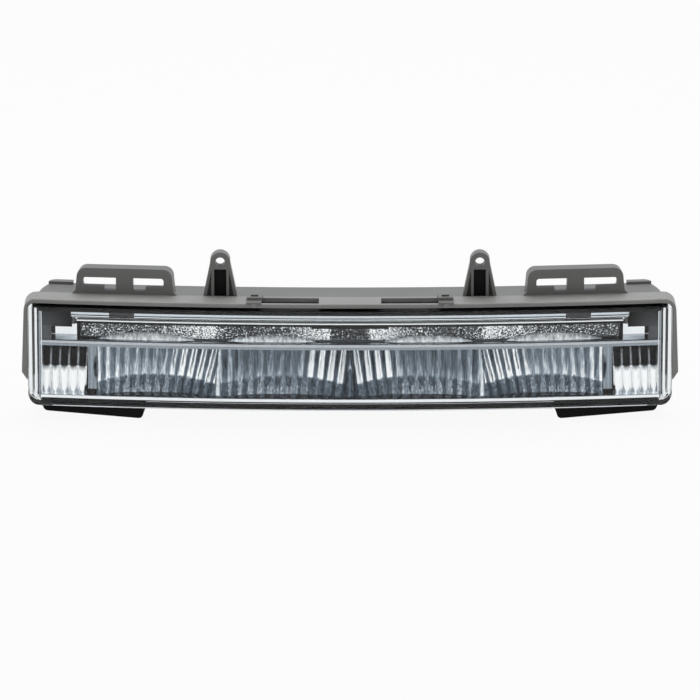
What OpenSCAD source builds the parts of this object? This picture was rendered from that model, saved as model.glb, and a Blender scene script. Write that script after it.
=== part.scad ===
// Daytime running lamp for a car: a long clear-fronted lamp that bows gently towards the road,
// with two ear lugs and two slotted hook tabs on its top and two brackets under its ends.
// While a piece is drawn, X runs to the right, Y runs back from the middle of the cover lens,
// and Z rises from the lens's lower edge. in_frame() then moves it to the lamp's own frame,
// whose origin lies half way between the two ear holes, on the ears' front faces.

/* [Bow] */
// Radius of the front face, seen from above
bow_r = 1000; // [800:10:1600]

/* [Cover lens] */
// Width across the cover lens
lens_w = 284.6; // [280:0.1:300]
// Height of the cover lens
lens_h = 46.5; // [45:0.1:54]
// Thickness of its front
lens_t = 2.4; // [1.8:0.1:3]
// Thickness of its skirt
lens_wall = 2.2; // [1.8:0.1:2.4]
// Depth from its front to the rear edge of its skirt
lens_skirt = 12; // [11:0.1:14]
// Radius of its lower corners
lens_low_r = 6; // [3:0.5:8]
// Radius of its upper corners
lens_top_r = 3; // [2:0.5:5]
// Radius along its front edges
lens_edge_r = 1.6; // [0.8:0.1:2]
// Thickness of the sealing bead behind the skirt
seal_t = 0.8; // [0.5:0.1:1.2]

/* [Housing] */
// Gap between the cover lens and the flange around it
flange_gap = 0.2; // [0.1:0.05:0.4]
// Thickness of the flange above the lens
flange_lip = 1.8; // [1.4:0.1:3]
// Distance of the flange's front edge behind the lens's front
flange_set = 1; // [0.6:0.1:2]
// Depth of the flange's top
flange_depth = 13.2; // [12.5:0.1:18]
// Distance of the flange's top corners beyond the lens's side
flange_top_side = 1.6; // [1.2:0.1:4]
// Distance of the flange's lower ends beyond the lens's side
flange_low_side = 2.7; // [2:0.1:6]
// Height at which the flange's sides are widest
flange_wide_z = 15.1; // [14:0.1:24]
// Height at which the flange's sides end
flange_end_z = 11.4; // [9:0.1:13]
// Radius of the flange's upper corners
flange_r = 5.5; // [3:0.5:7]
// Drop from the flange's top to the body's top
body_step = 1.2; // [0.6:0.1:2]
// Depth from the lens's front to the body's back
body_depth = 37; // [36:0.5:48]
// Wall of the body
body_wall = 2.5; // [2:0.1:2.8]
// Distance of the body's side inside the lens's side
body_side = 2.8; // [2.4:0.1:4]
// Distance that each side of the body comes in towards its back
body_taper = 5.5; // [3:0.1:8]
// Radius of the body's corners
body_r = 4; // [2:0.5:5]
// Length of the raised rim at each rear corner
rear_rim_w = 11; // [6:0.5:20]
// Depth of that rim
rear_rim_d = 4; // [2:0.5:6]

/* [Slots in the flange] */
// Half the distance between the two slots
slot_in = 13.7; // [8:0.1:20]
// Length of each slot
slot_w = 25.3; // [15:0.1:27]
// Width of the strip left in front of a slot
slot_front = 1.7; // [1.2:0.1:3]
// Width of a slot from front to back
slot_d = 9.2; // [6:0.1:10]

/* [Lens clips] */
// Width of a clip
clip_w = 6.6; // [4:0.1:10]
// Thickness of a clip's strap
clip_t = 0.8; // [0.6:0.1:1.4]
// Height of the square ring on a clip
clip_ring_h = 1.3; // [0.8:0.1:2.5]
// Opening of that ring
clip_hole = 3.4; // [2:0.1:5]

/* [Ears] */
// Distance between the two ear holes
ear_pitch = 114.5; // [90:0.5:150]
// Height of the holes above the flange's top
ear_rise = 15.3; // [11:0.1:22]
// Diameter of the holes
ear_bore = 4.2; // [3:0.1:5.5]
// Radius of an ear's head
ear_head_r = 4.4; // [4:0.1:6]
// Width of an ear at its foot
ear_foot_w = 14.8; // [12:0.1:20]
// Thickness of an ear from front to back
ear_d = 6; // [4:0.1:9]
// Thickness of its back web
ear_web = 1.6; // [1:0.1:2.5]
// Distance between its two ribs, centre to centre
ear_rib_pitch = 6.6; // [5:0.1:7]
// Thickness of a rib and of the rim
ear_rib = 1.2; // [0.8:0.1:1.6]

/* [Hook tabs] */
// Distance of each tab's middle from the flange's upper corner
tab_side = 42.9; // [36:0.1:52]
// Width of a tab
tab_w = 44.3; // [42:0.1:54]
// Height of a tab above the flange's top
tab_h = 11.7; // [10.5:0.1:18]
// Radius of its upper corners
tab_r = 4; // [2:0.5:6]
// Lean of its sides, per side
tab_lean = 0.9; // [0:0.1:2]
// Thickness of its front plate
tab_t = 3; // [2:0.1:4]
// Depth of the rim around it
tab_rim_d = 7.2; // [5:0.1:10]
// Thickness of that rim
tab_rim = 1.8; // [1.2:0.1:2.5]
// Height of the slots in it
tab_slot_h = 3.9; // [2.5:0.1:5]
// Height of the slots above the flange
tab_slot_z = 3.6; // [2.5:0.1:5]
// Depth of the step at each slot's inner end
tab_slot_step = 1.8; // [0.8:0.1:2.4]
// Length of the outer slot
tab_slot_out = 14.7; // [8:0.1:15.5]
// Length of the outer slot's step
tab_step_out = 5.4; // [3:0.1:8]
// Length of the inner slot
tab_slot_in = 13.7; // [8:0.1:15.5]
// Length of the inner slot's step
tab_step_in = 5.7; // [3:0.1:8]
// Width of the web between the two slots
tab_web = 7.5; // [4:0.1:10]

/* [Trim bezel] */
// Gap between the lens and the bezel's front
bezel_gap = 1.2; // [0.6:0.1:2]
// Depth of the bezel
bezel_depth = 13; // [12.5:0.1:16]
// Wall of the bezel
bezel_wall = 1.6; // [1.2:0.1:2]
// Height of its bottom lip
lip_h = 2.9; // [2:0.1:4]
// Depth of its bottom lip
lip_d = 4.6; // [4:0.1:6]
// Height of the ledge across it
ledge_h = 2.6; // [2:0.1:3.4]
// Distance of the ledge's front behind the bezel's front
ledge_set = 1; // [0:0.1:2]
// Number of flutes at each end
end_flutes = 5; // [3:1:6]
// Width of an end flute
end_pitch = 4.05; // [3.5:0.05:4.2]
// Bulge of an end flute
end_rise = 1.1; // [0.6:0.1:1.5]
// Distance of the end flutes' crests behind the bezel's front
end_set = 2.4; // [1.5:0.1:3.5]
// Lean of the end flutes from the upright
end_lean = 2.6; // [0:0.1:5]
// Side of the square hole beside the end flutes
end_hole = 2.2; // [1.4:0.1:3]
// Width of the plain column beside the chambers
column_w = 3.8; // [3:0.1:6]
// Width of the plain rim outside the end flutes
end_rim = 0.55; // [0.4:0.05:1.5]
// Width of the plain corner over the end flutes
corner_w = 16.6; // [12:0.1:20]

/* [Upper strip and light bar] */
// Height of the grained strip
strip_h = 7.2; // [5:0.1:8]
// Thickness of the grained strip
strip_t = 2; // [1.2:0.1:2.4]
// Distance of the strip's front behind the ledge's front
strip_set = 4.4; // [4:0.1:5]
// Thickness of the shelf above it
shelf_t = 0.9; // [0.7:0.1:1.4]
// Height of the light bar
bar_h = 3.6; // [2.6:0.1:4.4]
// Height of the bar's rear web
bar_web_h = 1.5; // [1:0.1:2.2]
// Depth of the bar's rear web
bar_web_d = 2; // [1.2:0.1:3]
// Distance of the bar's ends from the bezel's ends
bar_end = 14; // [9:0.1:16]
// Thickness of the hook at each end of the bar
bar_hook = 1.4; // [1:0.1:2]
// Gap above the light bar
bar_gap = 0.5; // [0.3:0.1:1]
// Distance of the bar's front behind the lens
bar_set = 1.6; // [1:0.1:2.4]

/* [Reflectors] */
// Width of each of the two inner chambers
chamber_in_w = 58.4; // [50:0.1:60]
// Number of flutes in a chamber
flutes = 13; // [8:1:18]
// Bulge of a flute
flute_rise = 0.9; // [0.4:0.1:1.2]
// Lean of the flutes from the upright
flute_lean = 6; // [0:0.5:10]
// Slope of the fluted faces' feet
foot_tilt = 27; // [20:1:30]
// Slope of the fluted faces above their feet
wall_tilt = 3.5; // [1:0.5:8]
// Height of the feet at the middle of a chamber
foot_rise = 8.6; // [6:0.1:11]
// Drop of the feet's upper edge towards a chamber's ends
foot_drop = 2.4; // [1:0.1:3]
// Room between a chamber's deepest place and the reflectors' back
hollow_room = 2.5; // [1.5:0.1:4]
// Thickness behind the flutes
flute_back = 1.8; // [1.2:0.1:2.4]
// Distance of the reflectors' front behind the lens
bank_set = 4.2; // [3.8:0.1:5]
// Room between the reflectors and the housing's back wall
bank_room = 9.5; // [8:0.1:11]
// Wall of the reflector bank
bank_wall = 1.5; // [1.2:0.1:2]

/* [Light sources and boards] */
// Thickness of the boards
board_t = 1.6; // [1:0.1:2]
// Side of a light source
led_w = 3.5; // [2.5:0.1:5]
// Height of a light source
led_h = 0.9; // [0.5:0.1:1.2]
// Depth of a light source's middle behind the ledge
led_set = 5; // [4:0.1:8]
// Number of small light sources along the light bar
bar_led_n = 8; // [4:1:12]
// Thickness of the thermal pad
pad_t = 0.5; // [0.3:0.1:1]

/* [Heat sink] */
// Thickness of the plate inside the housing
plate_t = 2; // [1.5:0.1:3]
// Distance of its neck's ends inside the base's ends
neck_set = 12; // [11:0.5:20]
// Distance between the base's ends and the middle of the socket
sink_gap = 21; // [19:0.5:24]
// Height of that base
sink_h = 22; // [20:0.5:23]
// Thickness of that base
sink_t = 3; // [2:0.1:5]
// Height of its fins
fin_h = 10; // [6:0.5:16]
// Thickness of a fin
fin_t = 1.5; // [1:0.1:2]
// Number of fins
fin_n = 23; // [9:1:25]
// Thickness of the gasket under the base
gasket_t = 1; // [0.6:0.1:1.6]
// Width of the gasket's ring
gasket_w = 3; // [2:0.1:3.5]

/* [Rear fittings] */
// Distance of the socket and the vent from the body's sides
rear_side = 36.5; // [33:0.5:38]
// Width of the socket
socket_w = 20; // [16:0.5:24]
// Height of the socket
socket_h = 13; // [11:0.5:15]
// Reach of the socket behind the housing
socket_out = 14; // [10:0.5:20]
// Wall of the socket
socket_wall = 1.6; // [1.2:0.1:2]
// Number of contacts
pin_n = 4; // [2:1:5]
// Side of a contact
pin_w = 1; // [0.6:0.1:1.4]
// Diameter of the vent cap
vent_d = 15; // [12:0.5:18]
// Height of the vent cap
vent_h = 5; // [4:0.5:8]

/* [Brackets] */
// Height of a bracket under the lamp
foot_h = 7; // [5:0.1:12]
// Wall of a bracket
foot_wall = 2.4; // [1.6:0.1:3]
// Distance of a bracket's outer end inside the body's side
foot_side = 2.9; // [1.8:0.1:5.5]
// Length of a bracket
foot_len = 45; // [42:0.1:50]
// Distance of its inner front corner behind the lens's front
foot_front_in = 13.8; // [10:0.1:18]
// Distance of its outer front corner behind the lens's front
foot_front_out = 27.8; // [25:0.1:31]
// Distance of its back before the body's back at the bracket's outer end
foot_short = 3.3; // [1.3:0.1:3.8]

/* [Screws] */
// Diameter of a screw's shank
screw_d = 3; // [2.5:0.1:3.5]
// Diameter of a screw's head
screw_head_d = 6; // [5:0.1:6.5]
// Height of a screw's head
screw_head_h = 2; // [1.5:0.1:2.4]
// Diameter of the bosses
boss_d = 7; // [6:0.1:7.5]

/* [Hidden] */
$fn = 72;
sweep_fn = 256;
fit = 0.2;
past = 1;
far = 400;

// Heights, from the lens's lower edge up
flange_top = lens_h + flange_gap + flange_lip;
body_top = flange_top - body_step;
cavity_top = lens_h - lens_wall;
bezel_top = cavity_top - fit;
bar_z1 = bezel_top - bar_gap;
bar_z0 = bar_z1 - bar_h;
shelf_z1 = bar_z0 - bar_web_h;
shelf_z0 = shelf_z1 - shelf_t;
ledge_z1 = shelf_z0 - strip_h;
ledge_z0 = ledge_z1 - ledge_h;
lip_z1 = body_wall + lip_h;
board_z1 = ledge_z0 + board_t;
plate_z0 = board_z1 + pad_t;
plate_z1 = plate_z0 + plate_t;
ear_z = flange_top + ear_rise;

// Depths, from the lens's front back
rim_d = lens_skirt + seal_t;
rim_back = rim_d + body_wall;
flange_back = flange_set + flange_depth;
cavity_back = body_depth - body_wall;
bezel_front = lens_t + bezel_gap;
bezel_back = bezel_front + bezel_depth;
ledge_front = bezel_front + ledge_set;
bar_front = lens_t + bar_set;
strip_front = ledge_front + strip_set;
strip_back = strip_front + strip_t;
panel_front = strip_back;
panel_back = panel_front + bezel_wall;
bank_front = lens_t + bank_set;
bank_back = cavity_back - bank_room;
board_front = panel_front + fit;
led_d = ledge_front + led_set + led_w;

// Widths
flange_top_w = lens_w + 2 * flange_top_side;
flange_low_w = lens_w + 2 * flange_low_side;
body_front_w = lens_w - 2 * body_side;
body_back_w = body_front_w - 2 * body_taper;
bezel_hw = body_front_w / 2 - body_wall - 2 * fit;
strip_hw = bezel_hw - corner_w;
bar_hw = bezel_hw - bar_end;
flute_area_in = bezel_hw - end_rim - end_flutes * end_pitch;
chamber_hw = flute_area_in - column_w;
chamber_out_w = chamber_hw - chamber_in_w;
chamber_depth = foot_rise * tan(foot_tilt) + (ledge_z0 - lip_z1 - foot_rise) * tan(wall_tilt);
chamber_hollow = bank_back - bank_front - chamber_depth - flute_rise - flute_back - hollow_room;
sweep_spare = 4;

// Places seen from above
function bow(x) = bow_r - sqrt(bow_r * bow_r - x * x);
sides = [-1, 1];
ear_x = ear_pitch / 2;
ear_y = flange_back + bow(ear_x + ear_foot_w / 2);
tab_x = flange_top_w / 2 - tab_side;
rear_x = body_front_w / 2 - rear_side;
clip_x = slot_in + slot_w + clip_w / 2;
chamber_mid = [chamber_in_w / 2, chamber_in_w + chamber_out_w / 2];

// Light sources
led_x = [-chamber_mid[1], -chamber_mid[0], chamber_mid[0], chamber_mid[1]];
led_window = led_w + 1.5;
bar_led_w = 3;
bar_led_h = 2;
bar_led_gap = 0.5;
bar_led_z = bar_z0 + 1.2;
bar_led_hw = bar_hw - 10;
bar_led_x = [for (i = [0:bar_led_n - 1]) ((i + 0.5) / bar_led_n - 0.5) * 2 * bar_led_hw];

// Screws
screw_reach = 8;
screw_z = lip_z1 + boss_d / 2 + 1;
seat_y = body_depth + 0.6;
bank_screw_x = [-chamber_in_w, 0, chamber_in_w];
bank_boss = 11;

// Heat sink
sink_w = 2 * (rear_x - sink_gap);
neck_w = sink_w - 2 * neck_set;
pad_y = body_depth + bow(sink_w / 2 + 1);
base_y = pad_y + gasket_t;
sink_z0 = (plate_z0 + plate_z1 - sink_h) / 2;
sink_screw_x = sink_w / 2 - 4;
sink_screw_z = [sink_z0 + 4, sink_z0 + sink_h - 4];

// Driver board and socket
driver_hw = 18;
driver_front = bank_back + 3;
driver_back = driver_front + board_t;
driver_top = ledge_z0 - 1;
driver_post_z = body_wall + 4;
socket_z = body_wall + 12.5;
socket_y = body_depth + 1;
socket_floor = body_depth + 3;
pin_pitch = 3.2;
pin_x = [for (i = [0:pin_n - 1]) (i - (pin_n - 1) / 2) * pin_pitch];

// Vent
vent_z = body_top / 2;
vent_y = body_depth + 1.2;
vent_bore = 5;

// Brackets
foot_seat = 3;
foot_out = body_front_w / 2 - foot_side;
foot_in = foot_out - foot_len;
foot_back = body_depth + bow(foot_out) - foot_short;
foot_screw_in = 6;
foot_screw_out = 12;
foot_screw_x = [foot_in + foot_screw_in, foot_out - foot_screw_out];
foot_screw_y = foot_back - 4.5;
foot_screw_top = 6;

// Points along an arc
function arc(cx, cy, r, a0, a1, n = 8) =
    [for (i = [0:n]) let (a = a0 + (a1 - a0) * i / n) [cx + r * cos(a), cy + r * sin(a)]];

// A rectangle about the middle, with one radius below and one above
function outline(half, z0, z1, r0, r1) = concat(
    arc(half - r0, z0 + r0, r0, -90, 0),
    arc(half - r1, z1 - r1, r1, 0, 90),
    arc(-half + r1, z1 - r1, r1, 90, 180),
    arc(-half + r0, z0 + r0, r0, 180, 270)
);

// The front of a fluted plate seen from above, with the crests on y = 0
function fluted(n, pitch, rise, thick, steps = 6) = concat(
    [for (i = [0:n * steps]) [(i / steps - n / 2) * pitch, rise - rise * abs(sin(180 * i / steps))]],
    [[n * pitch / 2, rise + thick], [-n * pitch / 2, rise + thick]]
);

// The plan of a hollow fluted wall that is w wide and has spare flutes beyond both ends
function hollow_plan(w, hollow, spare = 2, steps = 5) =
    let (
        pitch = w / flutes,
        n = flutes + 2 * spare,
        place = function(i) (i / steps - n / 2) * pitch,
        sag = function(x) hollow * (1 - pow(min(abs(2 * x / w), 1), 2.2))
    ) concat(
        [for (i = [0:n * steps])
            [place(i), sag(place(i)) + flute_rise * (1 - abs(sin(180 * i / steps)))]],
        [for (i = [n * steps:-steps:0]) [place(i), sag(place(i)) + flute_rise + flute_back]]
    );

// Moves the finished lamp from its drawing place to its own frame
module in_frame() {
    translate([0, -ear_y, -ear_z]) children();
}

// Sweeps a profile of [depth, height] along the bow
module bowed(half) {
    a = asin(half / bow_r);
    translate([0, bow_r, 0]) rotate([0, 0, -90 - a])
        rotate_extrude(angle = 2 * a, $fn = sweep_fn)
            translate([bow_r, 0]) mirror([1, 0]) children();
}

// A plain bowed slab
module slab(half, d0, d1, z0, z1) {
    bowed(half) translate([d0, z0]) square([d1 - d0, z1 - z0]);
}

// Carries what is drawn at the middle round the bow to x
module at_bow(x) {
    translate([0, bow_r, 0]) rotate([0, 0, asin(x / bow_r)]) translate([0, -bow_r, 0]) children();
}

// Extrudes a front view of [x, height] from y0 to y1
module front_view(y0, y1) {
    translate([0, y1, 0]) rotate([90, 0, 0]) linear_extrude(y1 - y0) children();
}

// A box from one corner to the other
module block(a, b) {
    translate(a) cube(b - a);
}

// A round bar along Y
module rod(x, z, y0, y1, d) {
    translate([x, y0, z]) rotate([-90, 0, 0]) cylinder(d = d, h = y1 - y0);
}

// The body seen from above, with its sides and its back brought in
function body_plan(side, back) =
    let (
        f = body_front_w / 2 - side,
        b = body_back_w / 2 - side,
        r = body_r,
        y0 = max(flange_back, bezel_back + fit) + bow(f),
        y1 = body_depth - back + bow(b)
    ) concat(
        [[-f, -far], [f, -far], [f, y0]],
        arc(b - r, y1 - r, r, 10, 90, 5),
        arc(-b + r, y1 - r, r, 90, 170, 5),
        [[-f, y0]]
    );

// Housing

module flange_block() {
    r = 0.8;
    half = flange_low_w / 2;
    slope = (flange_wide_z - flange_end_z) / (half - lens_w / 2 - flange_gap);
    foot = lens_w / 2 - past;
    foot_z = flange_end_z - slope * (past + flange_gap);
    intersection() {
        bowed(half + past)
            polygon(concat(
                [[flange_back, 0], [flange_back, flange_top]],
                arc(flange_set + r, flange_top - r, r, 90, 180, 5),
                [[flange_set, 0]]
            ));
        front_view(-past, far / 4)
            polygon(concat(
                [[foot, foot_z], [half, flange_wide_z]],
                arc(flange_top_w / 2 - flange_r, flange_top - flange_r, flange_r, 0, 90),
                arc(-flange_top_w / 2 + flange_r, flange_top - flange_r, flange_r, 90, 180),
                [[-half, flange_wide_z], [-foot, foot_z]]
            ));
    }
}

module rim_block() {
    intersection() {
        slab(flange_low_w / 2 + sweep_spare, rim_d - past, rim_back, 0, lens_h);
        front_view(0, far / 4) polygon(outline(lens_w / 2, 0, lens_h, lens_low_r, lens_top_r));
    }
}

module body_block() {
    r = 1.4;
    intersection() {
        bowed(body_front_w / 2 + 2 * sweep_spare)
            polygon(concat(
                [[rim_d - past, 0]],
                arc(body_depth - r, r, r, -90, 0, 4),
                arc(body_depth - r, body_top - r, r, 0, 90, 4),
                [[rim_d - past, body_top]]
            ));
        front_view(0, far / 4) polygon(outline(body_front_w / 2, 0, body_top, body_r, body_r));
        linear_extrude(far) polygon(body_plan(0, 0));
    }
}

module rear_rims() {
    inner = body_back_w / 2 - rear_rim_w;
    intersection() {
        slab(
            body_front_w / 2 + 2 * sweep_spare, body_depth - rear_rim_d, body_depth,
            body_top - past, flange_top
        );
        linear_extrude(far) polygon(body_plan(0, 0));
        for (s = sides)
            block([s > 0 ? inner : -far, 0, 0], [s > 0 ? far : -inner, far, far]);
    }
}

module ear(s) {
    foot = ear_foot_w / 2;
    lug = 1.3;
    sunk = 0.6;
    rib_in = ear_rib_pitch / 2 - ear_rib / 2;
    rib_out = ear_rib_pitch / 2 + ear_rib / 2;
    slope = (foot - ear_head_r) / (ear_z - body_top);
    pocket_top = body_top + (foot - ear_rib - rib_out) / slope;
    translate([s * ear_x, ear_y, 0])
        difference() {
            front_view(0, ear_d)
                polygon(concat(
                    [[-foot - lug - sunk, body_top - sunk], [foot + lug + sunk, body_top - sunk]],
                    [[foot, body_top + lug]],
                    arc(0, ear_z, ear_head_r, -8, 188, 20),
                    [[-foot, body_top + lug]]
                ));
            front_view(-past, ear_d - ear_web)
                square([2 * rib_in, 2 * (ear_z - ear_bore / 2 - ear_rib)], center = true);
            for (t = sides)
                front_view(-past, ear_d - ear_web)
                    polygon([
                        [t * rib_out, body_top], [t * (foot - ear_rib), body_top],
                        [t * rib_out, pocket_top]
                    ]);
            rod(0, ear_z, -past, ear_d + past, ear_bore);
        }
}

function tab_outline(inset) =
    let (
        low = tab_w / 2 - inset,
        top = low - tab_lean,
        z1 = flange_top + tab_h - inset,
        r = max(tab_r - inset, 0.5)
    ) concat(
        [[-low, body_top - past], [low, body_top - past]],
        arc(top - r, z1 - r, r, 0, 90, 6),
        arc(-top + r, z1 - r, r, 90, 180, 6)
    );

// One slot that starts at x = 0 and runs to the right, with its step at the start
module tab_slot(len, step_len) {
    z0 = flange_top + tab_slot_z;
    r = min(1.2, tab_slot_h / 2.5);
    front_view(-past, tab_rim_d + past)
        polygon(concat(
            [[0, z0 - tab_slot_step], [step_len, z0 - tab_slot_step], [step_len, z0]],
            arc(len - r, z0 + r, r, -90, 0, 4),
            arc(len - r, z0 + tab_slot_h - r, r, 0, 90, 4),
            [[0, z0 + tab_slot_h]]
        ));
}

module tab(s) {
    lug = 1.2;
    sunk = 0.6;
    low = tab_w / 2 + lug + past;
    at_bow(s * tab_x) mirror([s > 0 ? 1 : 0, 0, 0]) translate([0, flange_back - sunk, 0])
        difference() {
            union() {
                front_view(0, tab_rim_d) polygon(tab_outline(0));
                front_view(0, tab_t)
                    polygon([
                        [-low, body_top - past], [low, body_top - past], [low, flange_top - past],
                        [low - past - lug, flange_top + lug], [-low + past + lug, flange_top + lug],
                        [-low, flange_top - past]
                    ]);
            }
            front_view(tab_t, tab_rim_d + past)
                intersection() {
                    polygon(tab_outline(tab_rim));
                    translate([-far, body_top]) square(2 * far);
                }
            translate([tab_web / 2, 0, 0]) tab_slot(tab_slot_in, tab_step_in);
            translate([-tab_web / 2, 0, 0]) mirror([1, 0, 0]) tab_slot(tab_slot_out, tab_step_out);
        }
}

module lens_pocket() {
    g = flange_gap;
    intersection() {
        slab(flange_low_w / 2 + past, -far / 8, rim_d, -past, lens_h + g);
        front_view(-far / 4, far / 4)
            polygon(outline(lens_w / 2 + g, -past, lens_h + g, lens_low_r, lens_top_r + g));
    }
}

module cavity() {
    intersection() {
        slab(body_front_w / 2 + 2 * sweep_spare, rim_d - past, cavity_back, body_wall, cavity_top);
        linear_extrude(far) polygon(body_plan(body_wall, body_wall));
    }
}

module flange_slots() {
    d0 = flange_set + slot_front;
    for (s = sides)
        intersection() {
            slab(slot_in + slot_w + past, d0, d0 + slot_d, lens_h, flange_top + past);
            block(
                [s > 0 ? slot_in : -slot_in - slot_w, 0, 0],
                [s > 0 ? slot_in + slot_w : -slot_in, far, far]
            );
        }
}

module rear_pads() {
    edge = 2;
    frame_w = 4;
    block(
        [-sink_w / 2 - 1, body_depth - past, sink_z0 - edge],
        [sink_w / 2 + 1, pad_y, sink_z0 + sink_h + edge]
    );
    for (x = bank_screw_x)
        at_bow(x) rod(0, screw_z, body_depth - past, seat_y, screw_head_d + 2);
    at_bow(-rear_x) rod(0, vent_z, body_depth - past, vent_y, vent_d + 1);
    at_bow(rear_x)
        block(
            [-socket_w / 2 - frame_w, body_depth - past, socket_z - socket_h / 2 - frame_w],
            [socket_w / 2 + frame_w, socket_y, socket_z + socket_h / 2 + frame_w]
        );
}

module inner_bosses() {
    sink_boss = 3.5;
    foot_boss = 5;
    for (x = bank_screw_x)
        at_bow(x) rod(0, screw_z, bank_back + fit / 2, cavity_back + past, boss_d);
    for (x = [-sink_screw_x, sink_screw_x], z = sink_screw_z)
        rod(x, z, cavity_back + bow(x) - sink_boss, pad_y - past, boss_d);
    for (s = sides, x = foot_screw_x)
        translate([s * x, foot_screw_y, body_wall - past]) cylinder(d = boss_d, h = foot_boss + past);
    at_bow(rear_x)
        for (s = sides)
            rod(s * (driver_hw - 4), driver_post_z, driver_back, cavity_back + past, boss_d - 1);
}

module housing_holes() {
    for (x = bank_screw_x)
        at_bow(x) {
            rod(0, screw_z, bank_back - past, seat_y + past, screw_d + fit);
            rod(0, screw_z, seat_y, pad_y + past, screw_head_d + 2 * fit);
        }
    for (x = [-sink_screw_x, sink_screw_x], z = sink_screw_z)
        rod(x, z, pad_y - screw_reach - past, pad_y + past, screw_d + fit);
    for (s = sides, x = foot_screw_x)
        translate([s * x, foot_screw_y, -past])
            cylinder(d = screw_d + fit, h = foot_screw_top + 2 * past);
    block(
        [-neck_w / 2 - fit, cavity_back - past, plate_z0 - fit],
        [neck_w / 2 + fit, pad_y + past, plate_z1 + fit]
    );
    at_bow(-rear_x) rod(0, vent_z, cavity_back - past, vent_y + past, vent_bore);
    at_bow(rear_x)
        block(
            [-socket_w / 2 - fit, cavity_back - past, socket_z - socket_h / 2 - fit],
            [socket_w / 2 + fit, socket_y + past, socket_z + socket_h / 2 + fit]
        );
}

module housing() {
    color("#6d6e70")
        difference() {
            union() {
                difference() {
                    union() {
                        flange_block();
                        rim_block();
                        body_block();
                        rear_rims();
                        rear_pads();
                    }
                    lens_pocket();
                    cavity();
                    flange_slots();
                }
                inner_bosses();
                for (s = sides) {
                    ear(s);
                    tab(s);
                }
            }
            housing_holes();
        }
}

// Cover lens and its seal

module cover_lens() {
    half = lens_w / 2;
    r = lens_edge_r;
    side_y = bow(half - r) + r;
    color("#dfe6ea", 0.35)
        difference() {
            intersection() {
                bowed(half + past)
                    polygon(concat(
                        [[lens_skirt, 0], [lens_skirt, lens_h]],
                        arc(r, lens_h - r, r, 90, 180, 5),
                        arc(r, r, r, 180, 270, 5)
                    ));
                front_view(-past, far / 4) polygon(outline(half, 0, lens_h, lens_low_r, lens_top_r));
                linear_extrude(far)
                    polygon(concat(
                        [[-half, far / 4]],
                        arc(-half + r, side_y, r, 180, 270, 5),
                        [[-half + r, -past], [half - r, -past]],
                        arc(half - r, side_y, r, 270, 360, 5),
                        [[half, far / 4]]
                    ));
            }
            intersection() {
                slab(half, lens_t, lens_skirt + past, lens_wall, lens_h - lens_wall);
                front_view(-past, far / 4)
                    polygon(outline(
                        half - lens_wall, lens_wall, lens_h - lens_wall,
                        max(lens_low_r - lens_wall, 0.5), max(lens_top_r - lens_wall, 0.5)
                    ));
            }
        }
}

module lens_seal() {
    out = 0.2;
    deep = lens_wall - 0.2;
    color("#26282b")
        intersection() {
            slab(lens_w / 2 + sweep_spare, lens_skirt + fit / 4, rim_d, 0, lens_h);
            difference() {
                front_view(0, far / 4)
                    polygon(outline(lens_w / 2 - out, out, lens_h - out, lens_low_r, lens_top_r));
                front_view(-past, far / 4 + past)
                    polygon(outline(lens_w / 2 - deep, deep, lens_h - deep, lens_low_r - 1, 1));
            }
        }
}

// Trim bezel

module bezel_frame() {
    inner = bezel_hw - bezel_wall;
    difference() {
        slab(bezel_hw + sweep_spare, bezel_front, bezel_back, body_wall, bezel_top);
        front_view(-past, far / 4)
            translate([-inner, body_wall + bezel_wall])
                square([2 * inner, bezel_top - body_wall - 2 * bezel_wall]);
        intersection() {
            slab(inner, -past, panel_front, shelf_z1, far);
            block([-inner, -far, 0], [inner, far, far]);
        }
    }
}

module bezel_lip() {
    r = lip_h / 3;
    bowed(bezel_hw + sweep_spare)
        polygon(concat(
            [[bezel_front + lip_d, body_wall], [bezel_front + lip_d, lip_z1]],
            arc(bezel_front + r, lip_z1 - r, r, 90, 180, 4),
            arc(bezel_front + r, body_wall + r, r, 180, 270, 4)
        ));
}

module bezel_ledge() {
    r = ledge_h / 2.6;
    bowed(bezel_hw + sweep_spare)
        polygon(concat(
            [[panel_front, ledge_z0], [panel_front, ledge_z1]],
            arc(ledge_front + r, ledge_z1 - r, r, 90, 180, 5),
            arc(ledge_front + r, ledge_z0 + r, r, 180, 270, 5)
        ));
}

module end_panel(s) {
    mid = flute_area_in + end_flutes * end_pitch / 2;
    front = bezel_front + end_set;
    height = ledge_z0 - body_wall;
    intersection() {
        union() {
            at_bow(s * mid)
                translate([0, front, body_wall + height / 2]) rotate([0, s * end_lean, 0])
                    translate([0, 0, -height])
                        linear_extrude(2 * height)
                            polygon(fluted(end_flutes, end_pitch, end_rise, bezel_wall));
            slab(bezel_hw, front + end_rise, front + end_rise + bezel_wall, 0, far / 4);
        }
        block([s > 0 ? chamber_hw : -bezel_hw, 0, body_wall],
              [s > 0 ? bezel_hw : -chamber_hw, far, ledge_z0 + past]);
    }
}

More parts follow.
